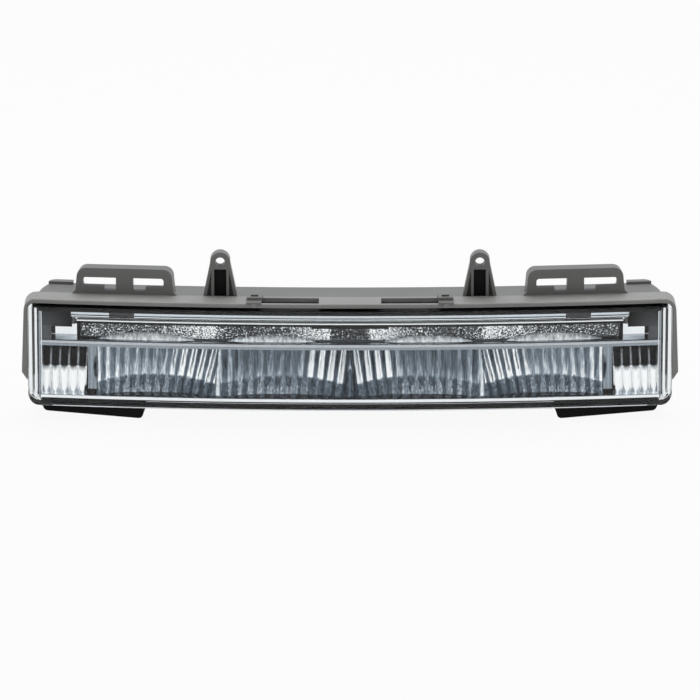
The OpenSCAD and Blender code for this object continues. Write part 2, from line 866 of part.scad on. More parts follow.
module trim_bezel() {
    hole_z = lip_z1 + 1;
    hole_x = chamber_hw + column_w / 2;
    color("#c9ccd0")
        intersection() {
            difference() {
                union() {
                    bezel_frame();
                    bezel_lip();
                    bezel_ledge();
                    for (s = sides) {
                        end_panel(s);
                        intersection() {
                            slab(bezel_hw, strip_front, panel_back, ledge_z1 - past, shelf_z1);
                            block([s > 0 ? strip_hw + fit : -far, 0, 0],
                                  [s > 0 ? far : -strip_hw - fit, far, far]);
                        }
                    }
                    slab(bezel_hw, strip_front - 2, panel_back, shelf_z0, shelf_z1);
                    slab(bezel_hw, panel_front, panel_back, shelf_z0, bezel_top);
                }
                for (x = bar_led_x)
                    at_bow(x)
                        block([-bar_led_w / 2 - bar_led_gap, 0, bar_led_z - bar_led_h / 2 - bar_led_gap],
                              [
                                  bar_led_w / 2 + bar_led_gap, panel_back + past,
                                  bar_led_z + bar_led_h / 2 + bar_led_gap
                              ]);
                for (s = sides)
                    at_bow(s * hole_x)
                        block([-end_hole / 2, 0, hole_z], [end_hole / 2, far / 8, hole_z + end_hole]);
            }
            front_view(-past, far / 4)
                polygon(outline(bezel_hw, body_wall, bezel_top, lens_low_r - lens_wall, lens_top_r / 3));
        }
}

// Reflectors

module chamber_wall(w, front, z, tilt, hollow, lean) {
    translate([0, front, z]) rotate([-tilt, 0, 0]) rotate([0, lean, 0])
        translate([0, 0, -far / 16])
            linear_extrude(far / 6) polygon(hollow_plan(w, hollow));
}

module chamber(x, w) {
    lean = x > 0 ? -flute_lean : flute_lean;
    foot_end = bank_front + foot_rise * tan(foot_tilt);
    arch = foot_drop * (tan(foot_tilt) - tan(wall_tilt));
    at_bow(x)
        intersection() {
            union() {
                chamber_wall(w, bank_front + arch, lip_z1, foot_tilt, chamber_hollow - arch, lean);
                chamber_wall(w, foot_end, lip_z1 + foot_rise, wall_tilt, chamber_hollow, lean);
            }
            block([-w / 2, 0, 0], [w / 2, far / 8, far / 8]);
        }
}

module partition(x) {
    at_bow(x) block([-bank_wall / 2, 0, 0], [bank_wall / 2, far / 8, far / 8]);
}

module reflector_bank() {
    color("#d3d6d9")
        difference() {
            intersection() {
                union() {
                    for (s = sides) {
                        chamber(s * chamber_mid[0], chamber_in_w);
                        chamber(s * chamber_mid[1], chamber_out_w);
                        partition(s * chamber_in_w);
                        at_bow(s * (chamber_hw - fit - bank_wall / 2))
                            block([-bank_wall / 2, 0, 0], [bank_wall / 2 + fit, far / 8, far / 8]);
                    }
                    partition(0);
                    slab(chamber_hw, bank_front + 2, far / 8, ledge_z0 - bank_wall, far / 8);
                    for (x = bank_screw_x)
                        at_bow(x) rod(0, screw_z, bank_back - bank_boss, far / 8, boss_d);
                }
                slab(chamber_hw - fit, bank_front, bank_back, lip_z1, ledge_z0);
            }
            for (x = led_x)
                at_bow(x)
                    translate([0, led_d, ledge_z0])
                        cube([led_window, led_window, 4 * bank_wall], center = true);
            for (x = bank_screw_x)
                at_bow(x) rod(0, screw_z, bank_back - screw_reach - past, bank_back + past, screw_d + fit);
        }
}

module upper_reflector() {
    front = strip_back + 2 * fit;
    deep = 9;
    dish_r = 62;
    dish_d = 5.5;
    color("#d3d6d9")
        difference() {
            slab(strip_hw, front, front + deep, plate_z1, shelf_z0 - fit);
            for (x = led_x)
                at_bow(x)
                    translate([0, front - dish_r + dish_d, 0])
                        cylinder(r = dish_r, h = far / 4, $fn = sweep_fn);
        }
}

// Clear optics

module diffuser_strip() {
    color("#e4e8ea", 0.6)
        slab(strip_hw, strip_front, strip_back - fit, ledge_z1, shelf_z0 - fit / 2);
}

module light_bar() {
    r = bar_h / 3;
    hook_d = 1.6;
    back = panel_front - fit;
    color("#eef2f4", 0.5) {
        union() {
            bowed(bar_hw)
                polygon(concat(
                    [[back - bar_web_d, shelf_z1], [back, shelf_z1], [back, bar_z1]],
                    arc(bar_front + r, bar_z1 - r, r, 90, 180, 5),
                    arc(bar_front + r, bar_z0 + r, r, 180, 270, 5),
                    [[back - bar_web_d, bar_z0]]
                ));
            for (s = sides)
                intersection() {
                    slab(bar_hw, bar_front + 1, bar_front + 1 + hook_d, shelf_z0 - 1, bar_z0 + hook_d);
                    block([s > 0 ? bar_hw - bar_hook : -far, 0, 0],
                          [s > 0 ? far : -bar_hw + bar_hook, far, far]);
                }
        }
    }
}

// Light sources and boards

module bar_strip() {
    color("#2f5d43")
        slab(bar_hw - 8, panel_back, panel_back + board_t / 2, shelf_z0, bezel_top - bezel_wall - fit);
}

module bar_leds() {
    color("#f2e9a8")
        for (x = bar_led_x)
            at_bow(x)
                block([-bar_led_w / 2, panel_back - led_h, bar_led_z - bar_led_h / 2],
                      [bar_led_w / 2, panel_back, bar_led_z + bar_led_h / 2]);
}

module led_board() {
    color("#e8e8e2") slab(chamber_hw - 2, board_front, driver_back + 0.5, ledge_z0, board_z1);
}

module led(i) {
    color("#f4eba0")
        at_bow(led_x[i])
            block([-led_w / 2, led_d - led_w / 2, ledge_z0 - led_h],
                  [led_w / 2, led_d + led_w / 2, ledge_z0]);
}

module thermal_pad() {
    color("#8fa3b8") slab(chamber_hw - 4, board_front + 1, board_front + 13, board_z1, plate_z0);
}

module driver_board() {
    color("#2f5d43")
        at_bow(rear_x)
            block([-driver_hw, driver_front, body_wall], [driver_hw, driver_back, driver_top]);
}

module choke() {
    x = driver_hw - 6;
    z = socket_z + 3;
    d = 8;
    h = 3.6;
    color("#303236")
        at_bow(rear_x)
            difference() {
                rod(x, z, driver_back, driver_back + h, d);
                rod(x, z, driver_back + h / 3, far / 4, d * 0.4);
            }
}

module capacitors() {
    d = 5;
    h = 4;
    color("#8f9295")
        at_bow(rear_x)
            for (z = [driver_top - 13.5, driver_top - 6.5])
                rod(-driver_hw + 4.5, z, driver_back, driver_back + h, d);
}

module driver_chip() {
    w = 8;
    h = 4.5;
    t = 1.5;
    color("#1d1e20")
        at_bow(rear_x)
            translate([-w / 2, driver_back, driver_top - h - 1]) cube([w, t, h]);
}

module board_link() {
    w = 10;
    color("#1d1e20")
        at_bow(rear_x)
            block([-w / 2 - 1, driver_front, driver_top], [w / 2 - 1, driver_back, ledge_z0]);
}

// Heat sink

module heat_sink() {
    span = 2 * (sink_screw_x - screw_head_d);
    color("#a9adb1")
        difference() {
            union() {
                slab(chamber_hw - 2, board_front, cavity_back - 2, plate_z0, plate_z1);
                block([-neck_w / 2, board_front + 8, plate_z0], [neck_w / 2, base_y + past, plate_z1]);
                block([-sink_w / 2, base_y, sink_z0], [sink_w / 2, base_y + sink_t, sink_z0 + sink_h]);
                for (i = [0:fin_n - 1])
                    translate([-span / 2 + i * span / (fin_n - 1) - fin_t / 2, base_y, sink_z0])
                        cube([fin_t, sink_t + fin_h, sink_h]);
            }
            for (x = [-sink_screw_x, sink_screw_x], z = sink_screw_z)
                rod(x, z, base_y - past, base_y + sink_t + past, screw_d + fit);
        }
}

module heat_sink_gasket() {
    half = sink_screw_x - screw_d / 2 - 0.7;
    edge = 1;
    color("#1d1e20")
        difference() {
            block([-half, pad_y, sink_z0 + edge], [half, base_y, sink_z0 + sink_h - edge]);
            block(
                [-half + gasket_w, pad_y - past, sink_z0 + edge + gasket_w],
                [half - gasket_w, base_y + past, sink_z0 + sink_h - edge - gasket_w]
            );
        }
}

// A pan-head screw along Y, with its head's seat at y and its head behind it
module rear_screw(x, z, y, reach) {
    slot = 0.8;
    difference() {
        union() {
            rod(x, z, y - reach, y, screw_d);
            rod(x, z, y, y + screw_head_h, screw_head_d);
        }
        for (a = [0, 90])
            translate([x, y + screw_head_h, z]) rotate([0, a, 0])
                cube([slot, screw_head_h, screw_head_d * 0.6], center = true);
    }
}

module heat_sink_screws() {
    color("#b9bbbe")
        for (x = [-sink_screw_x, sink_screw_x], z = sink_screw_z)
            rear_screw(x, z, base_y + sink_t, sink_t + gasket_t + screw_reach - past);
}

module reflector_screws() {
    color("#b9bbbe")
        for (x = bank_screw_x)
            at_bow(x) rear_screw(0, screw_z, seat_y, seat_y - bank_back + screw_reach);
}

// Socket and vent

module connector_socket() {
    lip = 3;
    lip_t = 1.6;
    color("#222428")
        at_bow(rear_x)
            difference() {
                union() {
                    translate([-socket_w / 2, cavity_back - past, socket_z - socket_h / 2])
                        cube([socket_w, socket_out + body_wall + past, socket_h]);
                    translate([-socket_w / 2 - lip, socket_y, socket_z - socket_h / 2 - lip])
                        cube([socket_w + 2 * lip, lip_t, socket_h + 2 * lip]);
                }
                translate([
                    -socket_w / 2 + socket_wall, socket_floor, socket_z - socket_h / 2 + socket_wall
                ])
                    cube([socket_w - 2 * socket_wall, far / 4, socket_h - 2 * socket_wall]);
                for (x = pin_x)
                    block([x - pin_w / 2 - fit / 4, 0, socket_z - pin_w / 2 - fit / 4],
                          [x + pin_w / 2 + fit / 4, far / 4, socket_z + pin_w / 2 + fit / 4]);
            }
}

module connector_pins() {
    set_in = 4;
    color("#c7a257")
        at_bow(rear_x)
            for (x = pin_x)
                block([x - pin_w / 2, driver_back, socket_z - pin_w / 2],
                      [x + pin_w / 2, body_depth + socket_out - set_in, socket_z + pin_w / 2]);
}

module vent_cap() {
    wall = 1.6;
    color("#2a2c30")
        at_bow(-rear_x)
            difference() {
                rod(0, vent_z, vent_y, vent_y + vent_h, vent_d);
                rod(0, vent_z, vent_y - past, vent_y + vent_h - wall, vent_d - 2 * wall);
                for (a = [0, 60, 120])
                    translate([0, vent_y, vent_z]) rotate([0, a, 0])
                        cube([2 * vent_d, wall * 2, wall], center = true);
            }
}

module vent_membrane() {
    t = 0.3;
    color("#f0f0ee")
        at_bow(-rear_x) rod(0, vent_z, vent_y, vent_y + t, vent_bore + 4);
}

// Brackets under the ends

// The bracket on the right seen from above, with its front and its ends brought in by w
function foot_plan(w) =
    let (
        spread = 3,
        slope = (foot_front_out - foot_front_in) / (foot_out - foot_in),
        x0 = foot_in - spread,
        x1 = foot_out + spread,
        shift = w * sqrt(1 + slope * slope)
    ) [
        [x0 + w, foot_front_in - spread * slope + shift + w * slope],
        [x1 - w, foot_front_out + spread * slope + shift - w * slope],
        [x1 - w, w > 0 ? far : foot_back], [x0 + w, w > 0 ? far : foot_back]
    ];

module foot_front(w) {
    r = 2.2;
    in_top = foot_in - 1.7;
    out_top = foot_out + 2.5;
    polygon(concat(
        [[in_top + w, w > 0 ? past : 0]],
        arc(foot_in + r + w / 2, -foot_h + r + w, r, 190, 270, 4),
        arc(foot_out - r - w / 2, -foot_h + r + w, r, 270, 345, 4),
        [[out_top - w, w > 0 ? past : 0]]
    ));
}

module foot_solid(w) {
    intersection() {
        front_view(0, foot_back + (w > 0 ? past : 0)) foot_front(w);
        translate([0, 0, -far / 2]) linear_extrude(far) polygon(foot_plan(w));
    }
}

module bracket(s) {
    color("#17181a")
        mirror([s > 0 ? 0 : 1, 0, 0])
            difference() {
                union() {
                    difference() {
                        foot_solid(0);
                        foot_solid(foot_wall);
                    }
                    for (x = foot_screw_x)
                        translate([x, foot_screw_y, -foot_h])
                            cylinder(d = screw_head_d + 2.6, h = foot_h);
                }
                for (x = foot_screw_x) {
                    translate([x, foot_screw_y, -foot_h - past])
                        cylinder(d = screw_head_d + 2 * fit, h = past + foot_seat);
                    translate([x, foot_screw_y, -foot_h - past])
                        cylinder(d = screw_d + fit, h = foot_h + 2 * past);
                }
            }
}

module bracket_left() {
    bracket(-1);
}

module bracket_right() {
    bracket(1);
}

module bracket_screws() {
    color("#b9bbbe")
        for (s = sides, x = foot_screw_x)
            translate([s * x, foot_screw_y, -foot_h + foot_seat]) {
                translate([0, 0, -screw_head_h]) cylinder(d = screw_head_d, h = screw_head_h);
                cylinder(d = screw_d, h = foot_h - foot_seat + foot_screw_top);
            }
}

// Clips on the flange

module lens_clip(s) {
    arm = clip_w / 3;
    ring_y = flange_set + (flange_depth - clip_w) / 2;
    color("#77787a")
        at_bow(s * clip_x)
            difference() {
                union() {
                    block([-clip_w / 2, flange_set - clip_t, flange_top],
                          [clip_w / 2, flange_back, flange_top + clip_t]);
                    block([-arm / 2, flange_set - clip_t, flange_top - flange_lip + fit],
                          [arm / 2, flange_set, flange_top + clip_t]);
                    block([-clip_w / 2, ring_y, flange_top],
                          [clip_w / 2, ring_y + clip_w, flange_top + clip_t + clip_ring_h]);
                }
                block([-clip_hole / 2, ring_y + (clip_w - clip_hole) / 2, flange_top + clip_t / 2],
                      [clip_hole / 2, ring_y + (clip_w + clip_hole) / 2, far]);
            }
}

module lens_clip_left() {
    lens_clip(-1);
}

module lens_clip_right() {
    lens_clip(1);
}

in_frame() housing();
in_frame() cover_lens();
in_frame() lens_seal();
in_frame() trim_bezel();
in_frame() reflector_bank();
in_frame() upper_reflector();
in_frame() diffuser_strip();
in_frame() light_bar();
in_frame() bar_strip();
in_frame() bar_leds();
in_frame() led_board();
in_frame() led(0);  // led_1
in_frame() led(1);  // led_2
in_frame() led(2);  // led_3
in_frame() led(3);  // led_4
in_frame() thermal_pad();
in_frame() heat_sink();
in_frame() heat_sink_gasket();
in_frame() heat_sink_screws();
in_frame() driver_board();
in_frame() choke();
in_frame() capacitors();
in_frame() driver_chip();
in_frame() board_link();
in_frame() connector_socket();
in_frame() connector_pins();
in_frame() vent_cap();
in_frame() vent_membrane();
in_frame() bracket_left();
in_frame() bracket_right();
in_frame() bracket_screws();
in_frame() reflector_screws();
in_frame() lens_clip_left();
in_frame() lens_clip_right();
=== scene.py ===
"""Looks of a daytime running lamp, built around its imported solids.

Sizes are in millimetres, as on the drawing: x runs to the right, depth runs back from the bowed
front of the cover lens and height rises from the lens's lower edge. Bow.place turns them into the
metres of the frame.
"""

import logging
import math
from collections.abc import Callable, Iterable, Sequence
from dataclasses import dataclass, field
from enum import Enum

import bpy
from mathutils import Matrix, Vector

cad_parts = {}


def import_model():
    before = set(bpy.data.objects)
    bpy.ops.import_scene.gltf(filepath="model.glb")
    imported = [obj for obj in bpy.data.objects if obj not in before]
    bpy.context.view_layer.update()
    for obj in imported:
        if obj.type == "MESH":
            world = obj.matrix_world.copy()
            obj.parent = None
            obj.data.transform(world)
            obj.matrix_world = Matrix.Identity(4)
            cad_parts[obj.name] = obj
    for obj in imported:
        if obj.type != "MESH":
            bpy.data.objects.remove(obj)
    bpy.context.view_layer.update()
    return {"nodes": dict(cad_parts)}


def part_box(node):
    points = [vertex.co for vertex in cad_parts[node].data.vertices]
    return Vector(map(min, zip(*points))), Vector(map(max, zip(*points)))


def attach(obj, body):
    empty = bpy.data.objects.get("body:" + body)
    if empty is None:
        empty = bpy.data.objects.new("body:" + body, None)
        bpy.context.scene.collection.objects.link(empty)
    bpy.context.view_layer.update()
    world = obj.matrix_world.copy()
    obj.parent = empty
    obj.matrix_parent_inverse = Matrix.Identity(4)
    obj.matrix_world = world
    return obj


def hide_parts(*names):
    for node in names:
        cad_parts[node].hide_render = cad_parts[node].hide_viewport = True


MM = 0.001
TOUCH = 0.01 * MM
WELD = 0.002 * MM
WHITE = (1.0, 1.0, 1.0)
LOG = logging.getLogger("lamp")
Colour = tuple[float, float, float]
Stop = tuple[float, Colour]
Where = Callable[[float, float], Vector]
Tone = Callable[[float, float], float]
Piece = bpy.types.Object
Node = bpy.types.Node
Socket = bpy.types.NodeSocket


class Side(Enum):
    """The two ends of the lamp, with the sign of their x."""

    LEFT = -1
    RIGHT = 1

    @property
    def word(self) -> str:
        """The side's name in a piece's name."""
        return self.name.lower()

    def outward(self, across: float) -> float:
        """Turns a share from left to right into one from the lamp's middle to this end."""
        return across if self is Side.RIGHT else 1 - across

    def inward(self, across: float) -> float:
        """Turns a share from left to right into one from this end to the lamp's middle."""
        return across if self is Side.LEFT else 1 - across


@dataclass(frozen=True)
class Bow:
    """The bow of the lamp's front and the place of the drawing in the frame."""

    apex_y: float
    base_z: float
    radius: float = 1000.0

    @classmethod
    def from_frame(cls) -> "Bow":
        """Reads the drawing's origin from the cover lens: its foremost and its lowest point."""
        low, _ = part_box("cover_lens")
        return cls(apex_y=low[1] / MM, base_z=low[2] / MM)

    def place(self, x: float, depth: float, height: float) -> Vector:
        """Gives a point of the drawing in the frame.

        Args:
            x: Distance to the right of the lamp's middle.
            depth: Distance behind the bowed front, towards the bow's centre.
            height: Height over the lens's lower edge.

        Returns:
            The point in metres.
        """
        back = self.radius - math.sqrt((self.radius - depth) ** 2 - x * x)
        return Vector((x, self.apex_y + back, self.base_z + height)) * MM


@dataclass(frozen=True)
class Section:
    """The section of a bowed bar: its depths, its heights and the radius of its front edges."""

    front: float
    back: float
    low: float
    high: float
    round_front: float = 0.0


def unit(value: float) -> float:
    """Holds a value between 0 and 1."""
    return min(max(value, 0.0), 1.0)


def greys(*steps: tuple[float, float]) -> tuple[Stop, ...]:
    """Gives the stops of a band of greys.

    Args:
        *steps: Each grey's place from 0 to 1, and its value.

    Returns:
        The stops.
    """
    return tuple((place, (value, value, value)) for place, value in steps)


class Shaders:
    """The nodes of a material or of the world, with short ways to add and join them."""

    def __init__(self, owner: bpy.types.ID, output: str = "OutputMaterial") -> None:
        """Starts with nothing but an output.

        Args:
            owner: The material or the world.
            output: The output node's type, without its ShaderNode prefix.
        """
        self.owner = owner
        owner.use_nodes = True
        self.tree = owner.node_tree
        self.tree.nodes.clear()
        self.output = self.add(output)

    def add(self, kind: str, **values: object) -> Node:
        """Adds a node.

        Args:
            kind: The node's type, without its ShaderNode prefix.
            **values: Values or links for its sockets, with underscores for spaces, or properties.

        Returns:
            The new node.
        """
        node = self.tree.nodes.new("ShaderNode" + kind)
        for key, value in values.items():
            socket = node.inputs.get(key.replace("_", " "))
            if isinstance(value, Socket):
                self.join(value, socket)
            elif socket is not None:
                socket.default_value = value
            else:
                setattr(node, key, value)
        return node

    def join(self, source: Socket, target: Socket) -> None:
        """Links one socket to another."""
        self.tree.links.new(source, target)

    def surface(self, shader: Node) -> bpy.types.ID:
        """Joins a shader to the output and gives what it belongs to."""
        self.join(shader.outputs[0], self.output.inputs["Surface"])
        return self.owner

    def place(self) -> Socket:
        """Gives the object's own coordinates in metres."""
        return self.add("TexCoord").outputs["Object"]

    def axes(self) -> Sequence[Socket]:
        """Gives the three values of the object's own coordinates."""
        return self.add("SeparateXYZ", Vector=self.place()).outputs

    def from_middle(self) -> Socket:
        """Gives the distance from the lamp's middle in metres."""
        return self.calc("ABSOLUTE", self.axes()[0])

    def noise(self, scale: float, detail: float = 2.0, tall: float = 1.0) -> Socket:
        """Adds a noise over the object's coordinates and gives its value.

        Args:
            scale: Cells in a metre.
            detail: Octaves of the noise.
            tall: How much longer its cells are upwards than across.

        Returns:
            The noise's factor.
        """
        where = self.place()
        if tall != 1.0:
            where = self.add("Mapping", Vector=where, Scale=(1.0, 1.0, 1.0 / tall)).outputs[0]
        return self.add("TexNoise", Vector=where, Scale=scale, Detail=detail).outputs[0]

    def calc(self, operation: str, *values: object) -> Socket:
        """Works something out.

        Args:
            operation: The Math node's operation.
            *values: The sockets and numbers that it works on, in order.

        Returns:
            The result.
        """
        node = self.add("Math", operation=operation)
        for target, value in zip(node.inputs, values):
            if isinstance(value, Socket):
                self.join(value, target)
            else:
                target.default_value = value
        return node.outputs[0]

    def span(self, value: Socket, low: float, high: float, start: float = 0.0, end: float = 1.0) -> Socket:
        """Spreads a value over a new range, and holds it there beyond its own.

        Args:
            value: The value to spread.
            low: What the start becomes.
            high: What the end becomes.
            start: Where the value's own range starts.
            end: Where it ends.

        Returns:
            The spread value.
        """
        node = self.add("MapRange", Value=value, From_Min=start, From_Max=end, To_Min=low, To_Max=high)
        return node.outputs["Result"]

    def stops(self, value: Socket, stops: Sequence[Stop]) -> Socket:
        """Runs through several colours.

        Args:
            value: The value that chooses between them.
            stops: Each colour with its place from 0 to 1.

        Returns:
            The colour.
        """
        node = self.add("ValToRGB", Fac=value)
        elements = node.color_ramp.elements
        elements[0].position, elements[1].position = stops[0][0], stops[-1][0]
        for place, _ in stops[1:-1]:
            elements.new(place)
        for element, (_, colour) in zip(elements, stops):
            element.color = (*colour, 1.0)
        return node.outputs["Color"]

    def shades(self, value: Socket, dark: Colour, pale: Colour) -> Socket:
        """Runs between two colours.

        Args:
            value: The value that chooses between them.
            dark: The colour at 0.3 and below.
            pale: The colour at 0.7 and above.

        Returns:
            The colour.
        """
        return self.stops(value, ((0.3, dark), (0.7, pale)))

    def bump(self, height: Socket, depth: float) -> Socket:
        """Adds a relief.

        Args:
            height: The relief's value from 0 to 1.
            depth: Its depth in metres.

        Returns:
            The bumped normal.
        """
        return self.add("Bump", Height=height, Strength=1.0, Distance=depth).outputs["Normal"]

    def mix(self, share: Socket, first: Node, second: Node) -> Node:
        """Mixes two shaders.

        Args:
            share: How much of the second shows.
            first: The first shader.
            second: The second shader.

        Returns:
            The mix.
        """
        node = self.add("MixShader")
        for source, target in zip((share, first.outputs[0], second.outputs[0]), node.inputs):
            self.join(source, target)
        return node

    def seen(self) -> Socket:
        """Gives 1 to what the camera sees straight, mirrored or through glass, and 0 to light."""
        rays = self.add("LightPath").outputs
        direct = self.calc("MAXIMUM", rays["Is Camera Ray"], rays["Is Glossy Ray"])
        return self.calc("MAXIMUM", direct, rays["Is Transmission Ray"])


@dataclass(frozen=True)
class Moulded:
    """Moulded plastic or rubber: a fine grain, faint flow clouds and rubbed patches."""

    name: str
    colour: Colour
    roughness: float = 0.45
    grain: float = 1500.0
    depth: float = 0.00002
    cloud: float = 0.1
    gloss: float = 0.5
    rubbed: float = 0.07
    cloud_grain: float = 45.0
    detail: float = 3.0

    def skin_colour(self, sh: Shaders, clouds: Socket) -> Socket:
        """Gives the colour, a little cloudy.

        Args:
            sh: The material's nodes.
            clouds: The noise of its clouds.

        Returns:
            The colour.
        """
        dark = tuple(c * (1 - self.cloud) for c in self.colour)
        pale = tuple(min(c * (1 + self.cloud), 1.0) for c in self.colour)
        return sh.shades(clouds, dark, pale)

    def build(self) -> bpy.types.Material:
        """Makes the material."""
        sh = Shaders(bpy.data.materials.new(self.name))
        clouds = sh.noise(self.cloud_grain, self.detail)
        return sh.surface(sh.add(
            "BsdfPrincipled",
            Specular_IOR_Level=self.gloss,
            Base_Color=self.skin_colour(sh, clouds),
            Roughness=sh.span(clouds, self.roughness - self.rubbed, self.roughness + self.rubbed),
            Normal=sh.bump(sh.noise(self.grain, self.detail), self.depth),
        ))


@dataclass(frozen=True)
class Shell(Moulded):
    """The housing's plastic, with a painted highlight: paler on the flange around the lens."""

    # How much paler the painted highlight makes the flange.
    rim_painted_light: float = 1.55
    rim_back: float = -0.0023
    rim_top: float = -0.0151
    blend: float = 0.0004
    sag: float = -0.5
    rim_stops: float = 0.6
    body_stops: float = 0.4

    def skin_colour(self, sh: Shaders, clouds: Socket) -> Socket:
        """Gives the colour, with the painted highlight: paler in front of the flange's bowed rear edge.

        Args:
            sh: The material's nodes.
            clouds: The noise of its clouds.

        Returns:
            The colour.
        """
        # Painted highlight: the flange in front of its bowed rear edge and below its top is made paler.
        x, y, z = sh.axes()
        behind = sh.calc("MULTIPLY_ADD", sh.calc("MULTIPLY", x, x), self.sag, y)
        rim = sh.span(behind, self.rim_stops, 0.0, self.rim_back, self.rim_back + self.blend)
        shown = sh.calc("MULTIPLY", rim, sh.calc("LESS_THAN", z, self.rim_top))
        stops = []
        for start, shade in ((0.0, 1.0), (self.rim_stops, self.rim_painted_light)):
            for place, share in ((0.1, 1 - self.cloud), (0.3, 1 + self.cloud)):
                stops.append((start + place, tuple(c * share * shade for c in self.colour)))
        return sh.stops(sh.calc("ADD", shown, sh.span(clouds, 0.0, self.body_stops)), stops)


@dataclass(frozen=True)
class GradedPaintedShade(Moulded):
    """Near-black plastic that turns paler towards the lamp's ends: painted shade, and a painted reflection
    where the chrome mirrors a dark surround.
    """

    pale: Colour = (0.13, 0.135, 0.145)
    dark_to: float = 0.123
    pale_from: float = 0.136

    def skin_colour(self, sh: Shaders, clouds: Socket) -> Socket:
        """Gives the colour for the distance from the lamp's middle: painted shade that turns to a paler
        painted reflection towards the ends.

        Args:
            sh: The material's nodes.
            clouds: The noise of its clouds, which only changes its gloss.

        Returns:
            The colour.
        """
        share = sh.span(sh.from_middle(), 0.0, 1.0, self.dark_to, self.pale_from)
        return sh.stops(share, ((0.0, self.colour), (1.0, self.pale)))


@dataclass(frozen=True)
class Metal:
    """Metal or metallised plastic, with a faint unevenness in its gloss."""

    name: str
    colour: Colour
    roughness: float = 0.06
    metallic: float = 1.0
    uneven: float = 0.03
    grain: float = 120.0
    depth: float = 0.000004
    dullest: float = 0.95

    def build(self) -> bpy.types.Material:
        """Makes the material."""
        sh = Shaders(bpy.data.materials.new(self.name))
        cloud = sh.noise(self.grain)
        dark = tuple(c * self.dullest for c in self.colour)
        low = max(self.roughness - self.uneven, 0.0)
        return sh.surface(sh.add(
            "BsdfPrincipled",
            Metallic=self.metallic,
            Base_Color=sh.shades(cloud, dark, self.colour),
            Roughness=sh.span(cloud, low, self.roughness + self.uneven),
            Normal=sh.bump(cloud, self.depth),
        ))


@dataclass(frozen=True)
class PaintedReflectionChrome:
    """Mirror chrome with painted reflection: a tone written on the piece sets its base colour from slate to
    white, and noise adds upright streaks and mottle of painted highlight.
    """

    name: str
    stops: tuple[Stop, ...]
    roughness: float = 0.12
    streak: float = 0.36
    streak_grain: float = 1500.0
    streak_tall: float = 14.0
    mottle: float = 0.14
    mottle_grain: float = 700.0
    mottle_tall: float = 2.0
    ripple_grain: float = 900.0
    ripple_tall: float = 10.0
    ripple_depth: float = 0.00012

    def build(self) -> bpy.types.Material:
        """Makes the material."""
        sh = Shaders(bpy.data.materials.new(self.name))
        # The tone is the painted reflection and shade written into the points when the piece was modelled.
        tone = sh.add("Attribute", attribute_name="tone").outputs["Fac"]
        # Upright streaks and mottle: painted highlights over the tone.
        streaks = sh.span(sh.noise(self.streak_grain, tall=self.streak_tall), -self.streak, self.streak)
        mottle = sh.span(sh.noise(self.mottle_grain, tall=self.mottle_tall), -self.mottle, self.mottle)
        mixed = sh.calc("ADD", tone, sh.calc("ADD", streaks, mottle))
        ripples = sh.noise(self.ripple_grain, tall=self.ripple_tall)
        return sh.surface(sh.add(
            "BsdfPrincipled",
            Metallic=1.0,
            Roughness=self.roughness,
            Base_Color=sh.stops(mixed, self.stops),
            Normal=sh.bump(ripples, self.ripple_depth),
        ))


@dataclass(frozen=True)
class Granular:
    """Clear plastic whose face is a close grain of bright and dark granules, brighter and darker in painted
    bands of highlight and shade along the strip.
    """

    name: str
    painted_bands: tuple[Stop, ...]
    granules: tuple[Stop, ...]
    reach: float = 0.125
    grain: float = 1700.0
    depth: float = 0.00022
    roughness: float = 0.08
    metallic: float = 0.85
    darkest: float = -0.2
    brightest: float = 0.12

    def build(self) -> bpy.types.Material:
        """Makes the material."""
        sh = Shaders(bpy.data.materials.new(self.name))
        grains = sh.noise(self.grain)
        # Painted highlight and shade: bands along the strip, by distance from the lamp's middle, make the
        # granules brighter or darker.
        share = sh.calc("DIVIDE", sh.from_middle(), self.reach)
        painted_bands = sh.span(sh.stops(share, self.painted_bands), self.darkest, self.brightest)
        return sh.surface(sh.add(
            "BsdfPrincipled",
            Metallic=self.metallic,
            Roughness=self.roughness,
            Base_Color=sh.stops(sh.calc("ADD", grains, painted_bands), self.granules),
            Normal=sh.bump(grains, self.depth),
        ))


@dataclass(frozen=True)
class Clear:
    """Clear plastic that lets the lamps' light through, with a trace of haze."""

    name: str
    tint: Colour = (0.97, 0.985, 0.99)
    index: float = 1.49
    roughness: float = 0.01
    haze: float = 1.01
    haze_grain: float = 30.0

    def build(self) -> bpy.types.Material:
        """Makes the material."""
        sh = Shaders(bpy.data.materials.new(self.name))
        pale = tuple(min(c * self.haze, 1.0) for c in self.tint)
        skin = sh.add(
            "BsdfPrincipled",
            Roughness=self.roughness,
            IOR=self.index,
            Transmission_Weight=1.0,
            Base_Color=sh.shades(sh.noise(self.haze_grain), self.tint, pale),
        )
        shadow = sh.add("LightPath").outputs["Is Shadow Ray"]
        return sh.surface(sh.mix(shadow, skin, sh.add("BsdfTransparent")))


Finish = Moulded | Metal | PaintedReflectionChrome | Granular | Clear
CHROME = Metal("reflector_chrome", (0.9, 0.92, 0.94), roughness=0.05)
TRIM = Metal("trim_chrome", (0.9, 0.91, 0.92), roughness=0.05)
# A darker copy of the chrome: painted shade for the ledge's greyer reflection.
HALF_SHADE_CHROME = Metal("chrome_painted_half_shade", (0.5, 0.52, 0.545), roughness=0.1, uneven=0.06, grain=200.0)
# A darker copy of the chrome: painted shade for the foot, end lips, columns and upper reflector.
SHADE = Metal("chrome_painted_shade", (0.3, 0.33, 0.36), roughness=0.12, uneven=0.05, grain=300.0)
# Base colours for the painted reflection on the dishes and ridges: near black through slate to white.
FLUTES = PaintedReflectionChrome("fluted_chrome", (
    (0.0, (0.02, 0.025, 0.03)), (0.3, (0.13, 0.16, 0.195)), (0.5, (0.3, 0.345, 0.39)),
    (0.7, (0.62, 0.66, 0.7)), (0.88, WHITE),
))
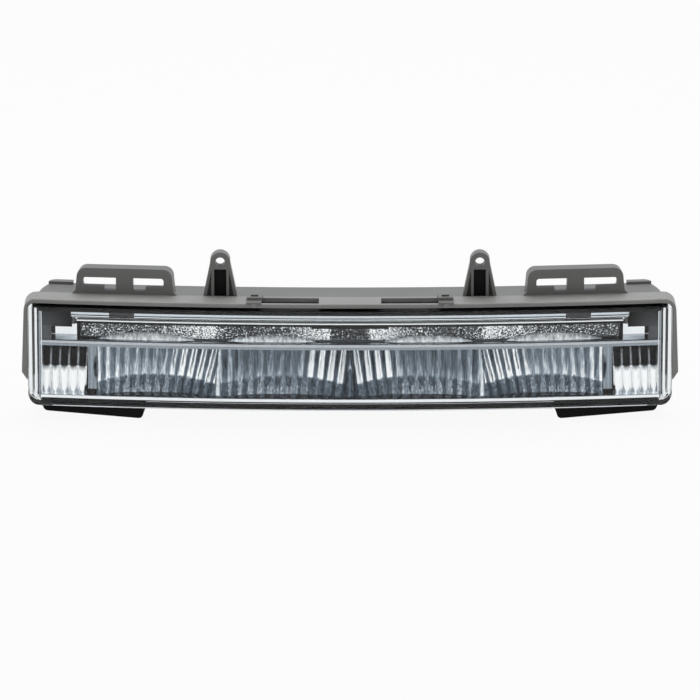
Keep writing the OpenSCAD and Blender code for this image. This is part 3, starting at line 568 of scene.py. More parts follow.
# Base colours for the painted reflection on the end flutes: black above, white below.
END_FLUTES = PaintedReflectionChrome("end_flute_chrome", (
    (0.0, (0.008, 0.008, 0.01)), (0.3, (0.05, 0.055, 0.06)), (0.6, (0.6, 0.62, 0.64)), (0.8, WHITE),
), streak=0.12, mottle=0.05)
# Base colours for the arcs' painted highlight, from dark grey to pale.
ARC = PaintedReflectionChrome("arc_chrome", (
    (0.0, (0.1, 0.105, 0.11)), (0.35, (0.24, 0.25, 0.26)), (0.7, (0.8, 0.82, 0.83)),
), streak=0.06, mottle=0.3)
# The housing's plastic, with the painted highlight on its flange.
GREY = Shell("housing_plastic", (0.16, 0.16, 0.155), roughness=0.42)
BLACK = Moulded("black_plastic", (0.012, 0.012, 0.013), roughness=0.4)
MATT_BLACK = Moulded("bracket_plastic", (0.0025, 0.0025, 0.0026), roughness=0.6, gloss=0.12)
# Near-black for sheets and boxes of painted shadow in holes, pockets and along the surround's edges.
PAINTED_SHADOW = Moulded("painted_shadow_black", (0.008, 0.008, 0.008), roughness=0.6, gloss=0.2)
# Painted shade: the leaning corner panels and flanks are near-black, paler towards the ends as a painted
# reflection.
CORNER_PAINTED_SHADE = GradedPaintedShade("corner_painted_shade", (0.006, 0.006, 0.007), roughness=0.5, gloss=0.2)
LENS = Clear("clear_lens", index=1.25)
GUIDE = Clear("light_guide")
GRAINED = Granular(
    "grained_clear",
    painted_bands=greys(
        (0.0, 0.25), (0.06, 0.3), (0.075, 0.95), (0.13, 0.85), (0.22, 0.5), (0.36, 0.36),
        (0.46, 0.5), (0.48, 0.95), (0.56, 0.75), (0.7, 0.42), (0.9, 0.5), (1.0, 0.3),
    ),
    granules=(
        (0.4, (0.01, 0.011, 0.013)), (0.48, (0.11, 0.12, 0.13)), (0.54, (0.36, 0.37, 0.38)), (0.62, WHITE),
    ),
)
NODE_FINISHES: dict[str, Finish] = {
    "housing": GREY,
    "bracket_left": MATT_BLACK,
    "cover_lens": LENS,
    "lens_seal": Moulded("seal_rubber", (0.025, 0.025, 0.027), roughness=0.6, depth=0.00003),
    # The upper reflector takes the darker chrome of painted shade.
    "upper_reflector": SHADE,
    "diffuser_strip": GRAINED,
    "bar_strip": Moulded("board_lacquer", (0.02, 0.12, 0.06), roughness=0.3, depth=0.00001),
    "bar_leds": Moulded("led_resin", (0.85, 0.72, 0.25), roughness=0.25, depth=0.000005),
    "led_board": Moulded("white_lacquer", (0.75, 0.75, 0.72), roughness=0.35, depth=0.00001),
    "thermal_pad": Moulded("thermal_pad", (0.22, 0.3, 0.4), roughness=0.7, depth=0.00003),
    "heat_sink": Metal("cast_aluminium", (0.62, 0.63, 0.64), roughness=0.42, metallic=0.4,
                       uneven=0.08, grain=900.0, depth=0.00003),
    "bracket_screws": Metal("zinc_steel", (0.58, 0.58, 0.57), roughness=0.28, metallic=0.6,
                            uneven=0.08, grain=500.0, depth=0.00001),
    "capacitors": Metal("drawn_can", (0.6, 0.61, 0.62), roughness=0.3),
    "connector_pins": Metal("contact_brass", (0.75, 0.55, 0.25), roughness=0.2),
    "vent_cap": BLACK,
    "vent_membrane": Moulded("membrane_film", (0.8, 0.8, 0.78), roughness=0.8, depth=0.00003),
}
SAME_FINISH: dict[str, tuple[str, ...]] = {
    "housing": ("lens_clip_left", "lens_clip_right"),
    "bracket_left": ("bracket_right",),
    "bar_leds": ("led_1", "led_2", "led_3", "led_4"),
    "bar_strip": ("driver_board",),
    "lens_seal": ("heat_sink_gasket",),
    "bracket_screws": ("heat_sink_screws", "reflector_screws"),
    "vent_cap": ("choke", "driver_chip", "board_link", "connector_socket"),
}


@dataclass
class Bench:
    """Where the pieces are made: the bow, the finishes in use and the pieces so far."""

    bow: Bow
    nodes: dict[str, Piece]
    made: dict[str, bpy.types.Material] = field(default_factory=dict)
    pieces: list[Piece] = field(default_factory=list)

    def material(self, finish: Finish) -> bpy.types.Material:
        """Gives a finish's material, made once.

        Args:
            finish: The finish.

        Returns:
            Its material.
        """
        if finish.name not in self.made:
            self.made[finish.name] = finish.build()
        return self.made[finish.name]

    def dress(self, piece: Piece, finish: Finish) -> None:
        """Gives a piece one finish all over."""
        piece.data.materials.clear()
        piece.data.materials.append(self.material(finish))

    def keep(self, piece: Piece, name: str, finish: Finish, slot: str) -> Piece:
        """Names, dresses and mounts a finished piece.

        Args:
            piece: The finished piece.
            name: Its name.
            finish: Its finish.
            slot: The name of a material slot; not used.

        Returns:
            The piece.
        """
        piece.name = name
        piece.data.name = name
        self.dress(piece, finish)
        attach(piece, "root")
        self.pieces.append(piece)
        LOG.info("%s: %d faces", name, len(piece.data.polygons))
        return piece


def clear_selection() -> None:
    """Leaves object mode with nothing selected."""
    if bpy.context.object is not None and bpy.context.object.mode != "OBJECT":
        bpy.ops.object.mode_set(mode="OBJECT")
    bpy.ops.object.select_all(action="DESELECT")


def pick(*pieces: Piece) -> None:
    """Selects pieces and nothing else, with the first one active."""
    clear_selection()
    for piece in pieces:
        piece.select_set(True)
    bpy.context.view_layer.objects.active = pieces[0]


def smooth(piece: Piece, degrees: float = 35.0) -> None:
    """Shades a piece smooth, up to an angle between its faces.

    Args:
        piece: The piece.
        degrees: The angle past which an edge stays sharp.
    """
    pick(piece)
    bpy.ops.object.shade_smooth_by_angle(angle=math.radians(degrees))


def fuse(pieces: Sequence[Piece]) -> Piece:
    """Joins pieces into the first.

    Args:
        pieces: The pieces.

    Returns:
        The joined piece, shaded smooth.
    """
    pick(*pieces)
    bpy.ops.object.join()
    smooth(pieces[0])
    return pieces[0]


def sheet(where: Where, columns: int, rows: int) -> Piece:
    """Lays a grid over a curved face.

    Args:
        where: Gives the point for two shares from 0 to 1, across and up.
        columns: Cells across.
        rows: Cells up.

    Returns:
        The sheet, which faces the front.
    """
    clear_selection()
    bpy.ops.mesh.primitive_grid_add(x_subdivisions=columns, y_subdivisions=rows, size=1.0)
    piece = bpy.context.object
    for vertex in piece.data.vertices:
        vertex.co = where(vertex.co.x + 0.5, vertex.co.y + 0.5)
    return piece


def tint(piece: Piece, columns: int, rows: int, tone: Tone) -> None:
    """Writes a sheet's tone into its points, before it is cut or thickened: the painted reflection, highlight
    and shade that its chrome turns into base colour.

    Args:
        piece: The sheet.
        columns: Cells across.
        rows: Cells up.
        tone: Gives the tone for two shares from 0 to 1, across and up.
    """
    layer = piece.data.attributes.new("tone", "FLOAT", "POINT")
    for index, value in enumerate(layer.data):
        value.value = tone(index % (columns + 1) / columns, index // (columns + 1) / rows)


def cut_off(piece: Piece, point: Vector, normal: Vector) -> None:
    """Cuts a piece along a plane and drops what lies on the normal's side.

    Args:
        piece: The piece.
        point: A point of the plane.
        normal: The plane's normal.
    """
    pick(piece)
    bpy.ops.object.mode_set(mode="EDIT")
    bpy.ops.mesh.select_all(action="SELECT")
    bpy.ops.mesh.bisect(plane_co=point, plane_no=normal, clear_outer=True, clear_inner=False)
    bpy.ops.object.mode_set(mode="OBJECT")


def thicken(piece: Piece, wall: float, degrees: float = 40.0) -> Piece:
    """Gives a sheet a wall behind its face.

    Args:
        piece: The sheet.
        wall: The wall's thickness.
        degrees: The angle past which an edge stays sharp.

    Returns:
        The piece, shaded smooth.
    """
    solid = piece.modifiers.new("wall", "SOLIDIFY")
    solid.thickness = wall * MM
    solid.offset = -1.0
    pick(piece)
    bpy.ops.object.modifier_apply(modifier=solid.name)
    smooth(piece, degrees)
    return piece


def bowed_bar(bow: Bow, left: float, right: float, section: Section, steps: int = 96) -> Piece:
    """Spins a section about the bow's axis into a bowed bar.

    Args:
        bow: The bow.
        left: The bar's left end.
        right: Its right end.
        section: Its section.
        steps: Steps of the spin.

    Returns:
        The bar.
    """
    clear_selection()
    bpy.ops.mesh.primitive_plane_add(size=1.0)
    bar = bpy.context.object
    for vertex in bar.data.vertices:
        depth = section.back if vertex.co.x > 0 else section.front
        height = section.high if vertex.co.y > 0 else section.low
        vertex.co = bow.place(0.0, depth, height)
    if section.round_front > 0:
        bpy.ops.object.mode_set(mode="EDIT")
        bpy.ops.mesh.select_all(action="DESELECT")
        bpy.ops.object.mode_set(mode="OBJECT")
        edge_y = bow.place(0.0, section.front, 0.0).y
        for vertex in bar.data.vertices:
            vertex.select = abs(vertex.co.y - edge_y) < TOUCH
        bpy.ops.object.mode_set(mode="EDIT")
        bpy.ops.mesh.select_mode(type="VERT")
        bpy.ops.mesh.bevel(offset=section.round_front * MM, segments=5, affect="VERTICES")
        bpy.ops.object.mode_set(mode="OBJECT")
    centre = Vector((0.0, (bow.apex_y + bow.radius) * MM, 0.0))
    reach = bow.radius - (section.front + section.back) / 2
    start = math.asin(left / reach)
    turn = math.asin(right / reach) - start
    for vertex in bar.data.vertices:
        arm = vertex.co.y - centre.y
        vertex.co.x = -arm * math.sin(start)
        vertex.co.y = centre.y + arm * math.cos(start)
    bpy.ops.object.mode_set(mode="EDIT")
    bpy.ops.mesh.select_all(action="SELECT")
    bpy.ops.mesh.spin(steps=steps, angle=-turn, center=centre, axis=(0.0, 0.0, 1.0))
    bpy.ops.mesh.select_all(action="SELECT")
    bpy.ops.mesh.remove_doubles(threshold=WELD)
    bpy.ops.mesh.select_all(action="DESELECT")
    bpy.ops.mesh.select_non_manifold(extend=False, use_wire=False, use_multi_face=False,
                                     use_non_contiguous=False, use_verts=False)
    bpy.ops.mesh.edge_face_add()
    bpy.ops.mesh.select_all(action="SELECT")
    bpy.ops.mesh.normals_make_consistent(inside=False)
    bpy.ops.object.mode_set(mode="OBJECT")
    return bar


def edged_box(first: Vector, second: Vector, edge: float) -> Piece:
    """Makes a box with bevelled edges.

    Args:
        first: One of its corners in metres.
        second: The opposite corner in metres.
        edge: Width of the bevels in millimetres.

    Returns:
        The box.
    """
    clear_selection()
    bpy.ops.mesh.primitive_cube_add(size=1.0, location=(first + second) / 2)
    box = bpy.context.object
    box.scale = [abs(end - start) for start, end in zip(first, second)]
    bpy.ops.object.transform_apply(location=True, rotation=True, scale=True)
    bpy.ops.object.mode_set(mode="EDIT")
    bpy.ops.mesh.select_all(action="SELECT")
    bpy.ops.mesh.bevel(offset=edge * MM, segments=3, affect="EDGES")
    bpy.ops.object.mode_set(mode="OBJECT")
    return box


@dataclass(frozen=True)
class DishPaintedLight:
    """The tones painted on a dish as reflection, highlight and shade, from 0 for the darkest to 1 for white.
    """

    foot: float = 0.4
    foot_facing: float = 0.12
    foot_low: float = 0.1
    foot_gap: float = 0.2
    outer: float = 0.3
    outer_facing: float = 0.26
    inner: float = 0.2
    inner_facing: float = 0.14
    over_foot: float = 0.16
    fade: float = 0.06
    white: float = 0.8
    edge: float = 0.3
    gap: float = 0.16
    top: float = 0.12
    top_from: float = 0.94
    white_from: float = 0.6
    white_blend: float = 0.14
    edge_reach: float = 0.16
    facing: float = 0.62
    facing_fade: float = 0.5
    facing_swing: float = 1.3
    facing_lead: float = 0.1


@dataclass
class ReflectorBank:
    """Four fluted dishes side by side, each hollow from left to right and steeper at its foot."""

    bench: Bench
    tones: DishPaintedLight = DishPaintedLight()
    inner_w: float = 58.4
    half: float = 112.0
    low: float = 3.6
    high: float = 26.9
    front: float = 6.7
    hollow: float = 8.0
    hollow_power: float = 2.2
    foot_slope: float = 27.0
    wall_slope: float = 3.5
    crest: float = 7.6
    crest_drop: float = 2.0
    flutes: int = 13
    spare: int = 2
    rise: float = 1.0
    foot_rise: float = 0.22
    rise_over: float = 1.6
    outer_fan: float = 0.11
    inner_fan: float = 0.055
    wall: float = 1.2
    columns_in_flute: int = 8
    rows: int = 30
    ridge_front: float = 7.9
    ridge_lean: float = 7.0
    ridge_round: float = 5.0
    ridge_wall: float = 0.5
    ridge_fade: float = 0.3
    ridge_cells: tuple[int, int] = (12, 16)
    # The last value of each ridge is the tone of its painted reflection.
    side_ridge: tuple[float, float, float] = (2.3, 0.5, 0.9)
    middle_ridge: tuple[float, float, float] = (3.4, 1.1, 0.22)
    roof: Section = Section(8.2, 24.5, 25.9, 26.9)

    def crest_at(self, off: float) -> float:
        """Gives the height where a dish's foot ends.

        Args:
            off: Place between the chamber's middle, 0, and its two ends, 1.

        Returns:
            The height.
        """
        return self.low + self.crest - self.crest_drop * off * off

    def dish_depth(self, share: float, height: float) -> float:
        """Gives the depth of the plain dish behind the flutes.

        Args:
            share: Place between the chamber's two ends, from 0 to 1.
            height: Height over the lens's lower edge.

        Returns:
            The depth.
        """
        off = min(abs(2 * share - 1), 1.0)
        foot = math.tan(math.radians(self.foot_slope))
        wall = math.tan(math.radians(self.wall_slope))
        above = height - self.crest_at(off)
        rise = above * wall if above > 0 else above * foot
        return self.front + self.crest * foot + rise + self.hollow * (1 - off**self.hollow_power)

    def dish_painted_light(self, step: float, height: float, plain: float, plain_facing: float) -> float:
        """Gives a dish's tone, a painted reflection: slate, with white painted highlights on the flutes
        towards the lamp's middle.

        Args:
            step: Place from the chamber's outer end, in flutes.
            height: Height over the lens's lower edge.
            plain: The tone of what turns away from the camera.
            plain_facing: What is added where it faces the camera.

        Returns:
            The tone.
        """
        tones = self.tones
        share = step / self.flutes
        crest = self.crest_at(min(abs(2 * share - 1), 1.0))
        inner = unit((share - tones.white_from) / tones.white_blend)
        edge = max(1 - share / tones.edge_reach, 0.0)
        climb = max(height - crest, 0.0) / (self.high - crest)
        swing = tones.facing_swing * math.sin(2 * math.pi * (step + tones.facing_lead))
        facing = unit(tones.facing - tones.facing_fade * climb * climb + swing)
        if height < crest:
            low = tones.foot_low * (1 - (height - self.low) / self.crest)
            return tones.foot + tones.foot_facing * facing + low - tones.foot_gap * inner * (1 - facing)
        if climb > tones.top_from:
            return tones.top
        tone = plain + plain_facing * facing + tones.over_foot * (1 - climb) ** 3 - tones.fade * climb
        return tone + (tones.white * inner + tones.edge * edge) * facing - tones.gap * inner * (1 - facing)

    def chamber(self, side: Side, inner: bool) -> Piece:
        """Models one chamber.

        Args:
            side: The side of the lamp that it is on.
            inner: Whether it is the one next to the lamp's middle.

        Returns:
            The chamber.
        """
        bow = self.bench.bow
        tones = self.tones
        outer = self.inner_w if inner else self.half
        width = self.inner_w if inner else self.half - self.inner_w
        fan = self.inner_fan if inner else self.outer_fan
        # Each chamber's own level of painted reflection, for what turns away and what faces the camera.
        plain = (tones.inner, tones.inner_facing) if inner else (tones.outer, tones.outer_facing)
        pitch = width / self.flutes
        steps = self.flutes + 2 * self.spare
        columns = steps * self.columns_in_flute

        def where(across: float, up: float) -> Vector:
            """Places a point of the fluted face for its shares across and up."""
            step = -self.spare + side.inward(across) * steps
            run = step * pitch * (1 + fan * (up - 0.5))
            height = self.low + up * (self.high - self.low)
            rise = self.foot_rise + (self.rise - self.foot_rise) * min(up * self.rise_over, 1.0)
            bulge = rise * (1 - abs(math.sin(math.pi * step)))
            return bow.place(side.value * (outer - run), self.dish_depth(run / width, height) + bulge, height)

        def tone(across: float, up: float) -> float:
            """Gives the tone for the shares across and up."""
            step = -self.spare + side.inward(across) * steps
            return self.dish_painted_light(step, self.low + up * (self.high - self.low), *plain)

        piece = sheet(where, columns, self.rows)
        tint(piece, columns, self.rows, tone)
        for edge, way in ((outer, side.value), (outer - width, -side.value)):
            cut_off(piece, bow.place(side.value * edge, 0, 0), Vector((way, 0, 0)))
        name = f"{'inner' if inner else 'outer'}_chamber_{side.word}"
        return self.bench.keep(thicken(piece, self.wall, 28.0), name, FLUTES, "reflector_chrome")

    def ridge(self, x: float, shape: tuple[float, float, float], name: str) -> Piece:
        """Models the wedge between two chambers, broad at its foot.

        Args:
            x: Its place.
            shape: Half its width at the foot, half its width at the top, and its tone of painted reflection.
            name: Its name.

        Returns:
            The wedge.
        """
        bow = self.bench.bow
        foot, head, shade = shape

        def where(across: float, up: float) -> Vector:
            """Places a point of the wedge's rounded face."""
            half = foot + (head - foot) * up
            turn = (across - 0.5) * math.pi
            height = self.low + up * (self.high - self.low)
            depth = self.ridge_front + self.ridge_lean * up + self.ridge_round * (1 - math.cos(turn))
            return bow.place(x + half * math.sin(turn), depth, height)

        piece = sheet(where, *self.ridge_cells)
        # Painted reflection: the tone darkens from the middle of the wedge to its sides.
        tint(piece, *self.ridge_cells, lambda across, up: shade - self.ridge_fade * abs(across - 0.5))
        return self.bench.keep(thicken(piece, self.ridge_wall, 50.0), name, FLUTES, "reflector_chrome")

    def build(self) -> list[Piece]:
        """Models the bank and lets it stand for its solid."""
        made = []
        for side in Side:
            made.append(self.chamber(side, inner=False))
            made.append(self.chamber(side, inner=True))
            made.append(self.ridge(side.value * self.inner_w, self.side_ridge, f"ridge_{side.word}"))
        made.append(self.ridge(0.0, self.middle_ridge, "ridge_middle"))
        roof = bowed_bar(self.bench.bow, -self.half, self.half, self.roof)
        made.append(self.bench.keep(roof, "bank_roof", CHROME, "reflector_chrome"))
        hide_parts("reflector_bank")
        return made


@dataclass
class TrimBezel:
    """The chrome surround: its frame, lip, ledge, shelf, fluted ends and plain corner panels."""

    bench: Bench
    half: float = 136.4
    strip_half: float = 120.2
    lip: Section = Section(3.6, 8.2, 3.0, 4.7, 0.35)
    # The foot and ledge_shade bars take the darker chrome of painted shade, and the ledge a lighter painted
    # half shade.
    foot: Section = Section(3.9, 16.4, 2.5, 4.1, 0.6)
    ledge: Section = Section(4.6, 11.0, 26.9, 29.5, 0.6)
    ledge_shade: Section = Section(4.4, 4.8, 26.9, 28.0)
    shelf: Section = Section(7.0, 12.6, 37.6, 38.5, 0.3)
    bar_panel: Section = Section(11.0, 12.6, 37.6, 44.1)
    # The top wall and the dark strips and patches below are black sheets of painted shadow.
    top: Section = Section(3.6, 16.4, 42.5, 44.1, 0.6)
    dark_top: Section = Section(3.9, 16.4, 44.1, 44.4)
    dark_foot: Section = Section(2.6, 4.6, 1.9, 2.3)
    dark_over_shelf: Section = Section(5.0, 5.7, 39.2, 39.6)
    dark_under_shelf: Section = Section(7.1, 8.0, 36.7, 37.6)
    dark_middle: Section = Section(7.1, 8.0, 35.9, 36.8)
    dark_middle_half: float = 17.0
    shadow_patch: Section = Section(10.75, 11.0, 39.8, 43.0)
    shadow_patch_in: float = 95.0
    shadow_patch_out: float = 106.0
    side_wall: float = 0.5
    side_front: float = 4.0
    side_step: float = 1.2
    side_gap: float = 0.5
    side_lip: float = 3.1
    lip_front: float = 6.6
    lip_back: float = 7.6
    upright_edge: float = 0.25
    skirt_in: float = 140.2
    skirt_out: float = 142.2
    skirt_short: float = 5.0
    skirt_glint: Section = Section(11.55, 11.9, 0.4, 1.2)
    column_in: float = 112.0
    column_out: float = 115.8
    column_front: float = 7.0
    column_lean: float = 5.5
    column_hollow: float = 0.8
    column_wall: float = 0.8
    column_cells: tuple[int, int] = (8, 12)
    hole_depth: float = 6.2
    hole_rise: float = 1.0
    hole_reach: tuple[float, float, float] = (1.1, 1.2, 1.1)
    hole_edge: float = 0.2
    flutes: int = 5
    flute_columns: int = 12
    flute_rows: int = 60
    flute_wall: float = 1.0
    flute_front: float = 5.8
    flute_rise: float = 1.0
    flute_splay: float = 0.8
    flute_lean: float = 0.72
    flute_bend: float = 0.06
    lean_height: float = 17.4
    # The next six fields set the painted reflection on the end flutes: white below a tip, dark above it, with
    # white lines between flutes.
    tip_drop: float = 1.6
    tip_over: float = 3.0
    tip_blend: float = 5.0
    gap_from: float = 0.78
    gap_painted_light: tuple[float, float, float] = (0.85, 0.95, 0.72)
    flute_painted_light: tuple[float, float] = (0.04, 0.91)
    arc_spans: tuple[tuple[float, float, float], ...] = ((15.3, 53.9, 2.4), (68.7, 111.2, 2.9))
    arc_sunk: float = 0.4
    arc_end: float = 0.9
    arc_front: float = 8.2
    arc_lean: float = 0.5
    arc_wall: float = 0.25
    arc_painted_light: tuple[float, float] = (0.66, 0.34)
    arc_cells: tuple[int, int] = (24, 4)
    corner_gap: float = 0.4
    corner_wall: float = 0.6
    corner_cells: tuple[int, int] = (24, 8)
    corner_depth: float = 10.2
    corner_height: float = 6.2
    corner_turn: float = 4.5
    corner_turn_from: float = 0.75
    shade_set: float = 2.0
    shade_front: float = 5.2
    shade_lean: float = 5.2
    shade_height: float = 6.3
    flank_w: float = 4.2
    flank: Section = Section(5.1, 5.4, 29.6, 35.7)

    def keep(self, piece: Piece, name: str, finish: Finish = TRIM) -> Piece:
        """Keeps a finished piece of the surround.

        Args:
            piece: The piece.
            name: Its name.
            finish: Its finish.

        Returns:
            The piece.
        """
        return self.bench.keep(piece, name, finish, "trim_chrome")

    def bar(self, half: float, section: Section, steps: int = 96) -> Piece:
        """Models a bowed bar about the lamp's middle.

        Args:
            half: Half its length.
            section: Its section.
            steps: Steps of the spin.

        Returns:
            The bar.
        """
        return bowed_bar(self.bench.bow, -half, half, section, steps)

    def short_bar(self, side: Side, inner: float, outer: float, section: Section) -> Piece:
        """Models a short bowed bar at one end.

        Args:
            side: The end.
            inner: Distance of its inner end from the lamp's middle.
            outer: Distance of its outer end.
            section: Its section.

        Returns:
            The bar.
        """
        left, right = sorted((side.value * inner, side.value * outer))
        return bowed_bar(self.bench.bow, left, right, section, steps=8)

    def upright(self, side: Side, inner: float, outer: float, front: float, back: float) -> Piece:
        """Models an upright wall as high as the frame.

        Args:
            side: The end that it is at.
            inner: Distance of its inner face from the lamp's middle.
            outer: Distance of its outer face.
            front: Depth of its front.
            back: Depth of its back.

        Returns:
            The wall.
        """
        near = self.bench.bow.place(side.value * inner, front, self.foot.low)
        far = self.bench.bow.place(side.value * outer, back, self.top.high)
        return edged_box(near, far, self.upright_edge)

    def frame(self) -> Piece:
        """Models the frame's side walls, the lips, the shelf and the panel behind the bar."""
        w = self.half
        bars = [self.bar(w, self.lip), self.bar(self.strip_half, self.shelf), self.bar(w, self.bar_panel)]
        for side in Side:
            bars.append(self.upright(side, w - self.side_wall, w, self.side_front, self.foot.back))
            inner = w + self.side_step + self.side_gap
            bars.append(self.upright(side, inner, w + self.side_lip, self.lip_front, self.lip_back))
        return self.keep(fuse(bars), "trim_frame")

    def shaded(self) -> list[Piece]:
        """Models the foot, end lips and ledge in darker copies of the chrome, painted shade, and black strips
        of painted shadow along the edges.
        """
        w = self.half
        painted_shade_bars = [self.bar(w, self.foot), self.bar(w, self.ledge_shade)]
        for side in Side:
            painted_shade_bars.append(self.upright(side, w, w + self.side_step, self.lip_front, self.lip_back))
        ledge = self.bar(w, self.ledge)
        smooth(ledge)
        # Black strips of painted shadow: the top wall, the foot line, over and under the shelf, in the
        # middle, and two patches behind the bar.
        strips = [self.bar(w, section) for section in (self.dark_top, self.top, self.dark_foot)]
        for section in (self.dark_over_shelf, self.dark_under_shelf):
            strips.append(self.bar(self.strip_half, section))
        strips.append(self.bar(self.dark_middle_half, self.dark_middle, steps=16))
        for side in Side:
            strips.append(self.short_bar(side, self.shadow_patch_in, self.shadow_patch_out, self.shadow_patch))
        return [
            self.keep(fuse(painted_shade_bars), "trim_foot", SHADE),
            self.keep(ledge, "trim_ledge", HALF_SHADE_CHROME),
            self.keep(fuse(strips), "trim_painted_shadow_strips", PAINTED_SHADOW),
        ]

    def arc(self, side: Side, number: int) -> Piece:
        """Models the smooth low arc in front of the grained strip, over one chamber, with a painted highlight
        that fades upwards.

        Args:
            side: The side of the lamp that it is on.
            number: The chamber's number, from the lamp's middle outwards.

        Returns:
            The arc.
        """
        bow = self.bench.bow
        inner, outer, rise = self.arc_spans[number]
        bright, fade = self.arc_painted_light

        def where(across: float, up: float) -> Vector:
            """Places a point of the arc, which leans back a little."""
            share = side.outward(across)
            top = 1 - (2 * share - 1) ** 2
            height = self.ledge.high - self.arc_sunk + (self.arc_end + rise * top) * up
            x = side.value * (inner + (outer - inner) * share)
            return bow.place(x, self.arc_front + self.arc_lean * up, height)

        piece = sheet(where, *self.arc_cells)
        # Painted highlight: bright at the arc's foot, fading towards its top.
        tint(piece, *self.arc_cells, lambda across, up: bright - fade * up)
        return self.keep(thicken(piece, self.arc_wall), f"strip_arc_{side.word}_{number}", ARC)

    def fluted_end(self, side: Side) -> Piece:
        """Models the five upright flutes at one end, upright below and leaning back above.

        Args:
            side: The end.

        Returns:
            The fluted panel.
        """
        bow = self.bench.bow
        width = self.half - self.side_wall - self.column_out
        tall = self.ledge.low - self.foot.high

        def where(across: float, up: float) -> Vector:
            """Places a point of the fluted face."""
            share = side.outward(across)
            height = self.foot.high + up * tall
            x = self.column_out + width * share + self.flute_splay * (1 - up)
            depth = self.flute_front + self.flute_bend * abs(height - self.lean_height)
            depth += self.flute_lean * max(height - self.lean_height, 0.0)
            depth += self.flute_rise * (1 - abs(math.sin(math.pi * share * self.flutes)))
            return bow.place(side.value * x, depth, height)

        def tone(across: float, up: float) -> float:
            """Gives the tone, a painted reflection: white below, dark above, with a painted white highlight
            between two flutes.
            """
            height = self.foot.high + up * tall
            gap = 2 * abs(side.outward(across) * self.flutes % 1 - 0.5)
            tip = self.lean_height - self.tip_drop * (1 - gap * gap)
            bright = unit((tip + self.tip_over - height) / self.tip_blend)
            if gap > self.gap_from:
                least, most, below = self.gap_painted_light
                return max(least, most * bright) if height > tip else below
            return self.flute_painted_light[0] + self.flute_painted_light[1] * bright

        cells = (self.flutes * self.flute_columns, self.flute_rows)
        piece = sheet(where, *cells)
        tint(piece, *cells, tone)
        return self.keep(thicken(piece, self.flute_wall, 30.0), f"end_flutes_{side.word}", END_FLUTES)

    def column(self, side: Side) -> list[Piece]:
        """Models the plain column beside the flutes, with its small square hole.

        Args:
            side: The end.

        Returns:
            The column, in the darker chrome of painted shade, and a black box of painted shadow as the hole's
            floor.
        """
        bow = self.bench.bow
        centre = (self.column_in + self.column_out) / 2

        def where(across: float, up: float) -> Vector:
            """Places a point of the column's hollow face."""
            share = side.outward(across)
            x = self.column_in + (self.column_out - self.column_in) * share
            depth = self.column_front + self.column_lean * up + self.column_hollow * math.sin(math.pi * share)
            return bow.place(side.value * x, depth, self.lip.high + up * (self.ledge.low - self.lip.high))

        post = thicken(sheet(where, *self.column_cells), self.column_wall)
        middle = bow.place(side.value * centre, self.hole_depth, self.lip.high + self.hole_rise)
        reach = Vector(self.hole_reach) * MM
        hole = edged_box(middle - reach, middle + reach, self.hole_edge)
        return [
            self.keep(post, f"end_column_{side.word}", SHADE),
            self.keep(hole, f"column_hole_{side.word}", PAINTED_SHADOW),
        ]

    def corner(self, side: Side) -> list[Piece]:
        """Models the panels over the fluted end: an upright one in chrome, and one leaning back above it in
        near-black painted shade.

        Args:
            side: The end.

        Returns:
            The two panels, and the dark flank of painted shade in front of the upright one.
        """
        bow = self.bench.bow
        inner = self.strip_half + self.corner_gap
        outer = self.half - self.side_wall
        knee = self.ledge.high + self.corner_height

        def upright(across: float, up: float) -> Vector:
            """Places a point of the upright panel, whose outer end turns to the front."""
            share = side.outward(across)
            bend = max(share - self.corner_turn_from, 0.0) / (1 - self.corner_turn_from)
            depth = self.corner_depth - self.corner_turn * bend * bend
            x = side.value * (inner + (outer - inner) * share)
            return bow.place(x, depth, self.ledge.high + up * self.corner_height)

        def leaning(across: float, up: float) -> Vector:
            """Places a point of the panel that leans back."""
            start = inner + self.shade_set
            x = side.value * (start + (outer - start) * side.outward(across))
            return bow.place(x, self.shade_front + self.shade_lean * up, knee + up * self.shade_height)

        made = []
        # The leaning panel and the flank take the near-black of painted shade.
        for place, name, finish in ((upright, "corner_panel", TRIM), (leaning, "corner_painted_shade", CORNER_PAINTED_SHADE)):
            panel = thicken(sheet(place, *self.corner_cells), self.corner_wall)
            made.append(self.keep(panel, f"{name}_{side.word}", finish))
        flank = self.short_bar(side, outer - self.flank_w, outer, self.flank)
        made.append(self.keep(flank, f"corner_flank_{side.word}", CORNER_PAINTED_SHADE))
        return made

    def glint(self, side: Side) -> Piece:
        """Models the bright strip behind the lens's skirt, which makes the skirt look pale.

        Args:
            side: The end that it is at.

        Returns:
            The strip.
        """
        section = self.skirt_glint
        strip = self.upright(side, self.skirt_in, self.skirt_out, section.front, section.back)
        return self.keep(strip, f"skirt_glint_{side.word}")

    def build(self) -> list[Piece]:
        """Models the surround and lets it stand for its solid."""
        made = [self.frame(), *self.shaded()]
        foot = self.bar(self.half - self.skirt_short, self.skirt_glint)
        made.append(self.keep(foot, "skirt_glint_foot"))
        for side in Side:
            made.append(self.fluted_end(side))
            made.extend(self.column(side))
            made.extend(self.corner(side))
            made.extend(self.arc(side, number) for number in range(len(self.arc_spans)))
            made.append(self.glint(side))
        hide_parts("trim_bezel")
        return made


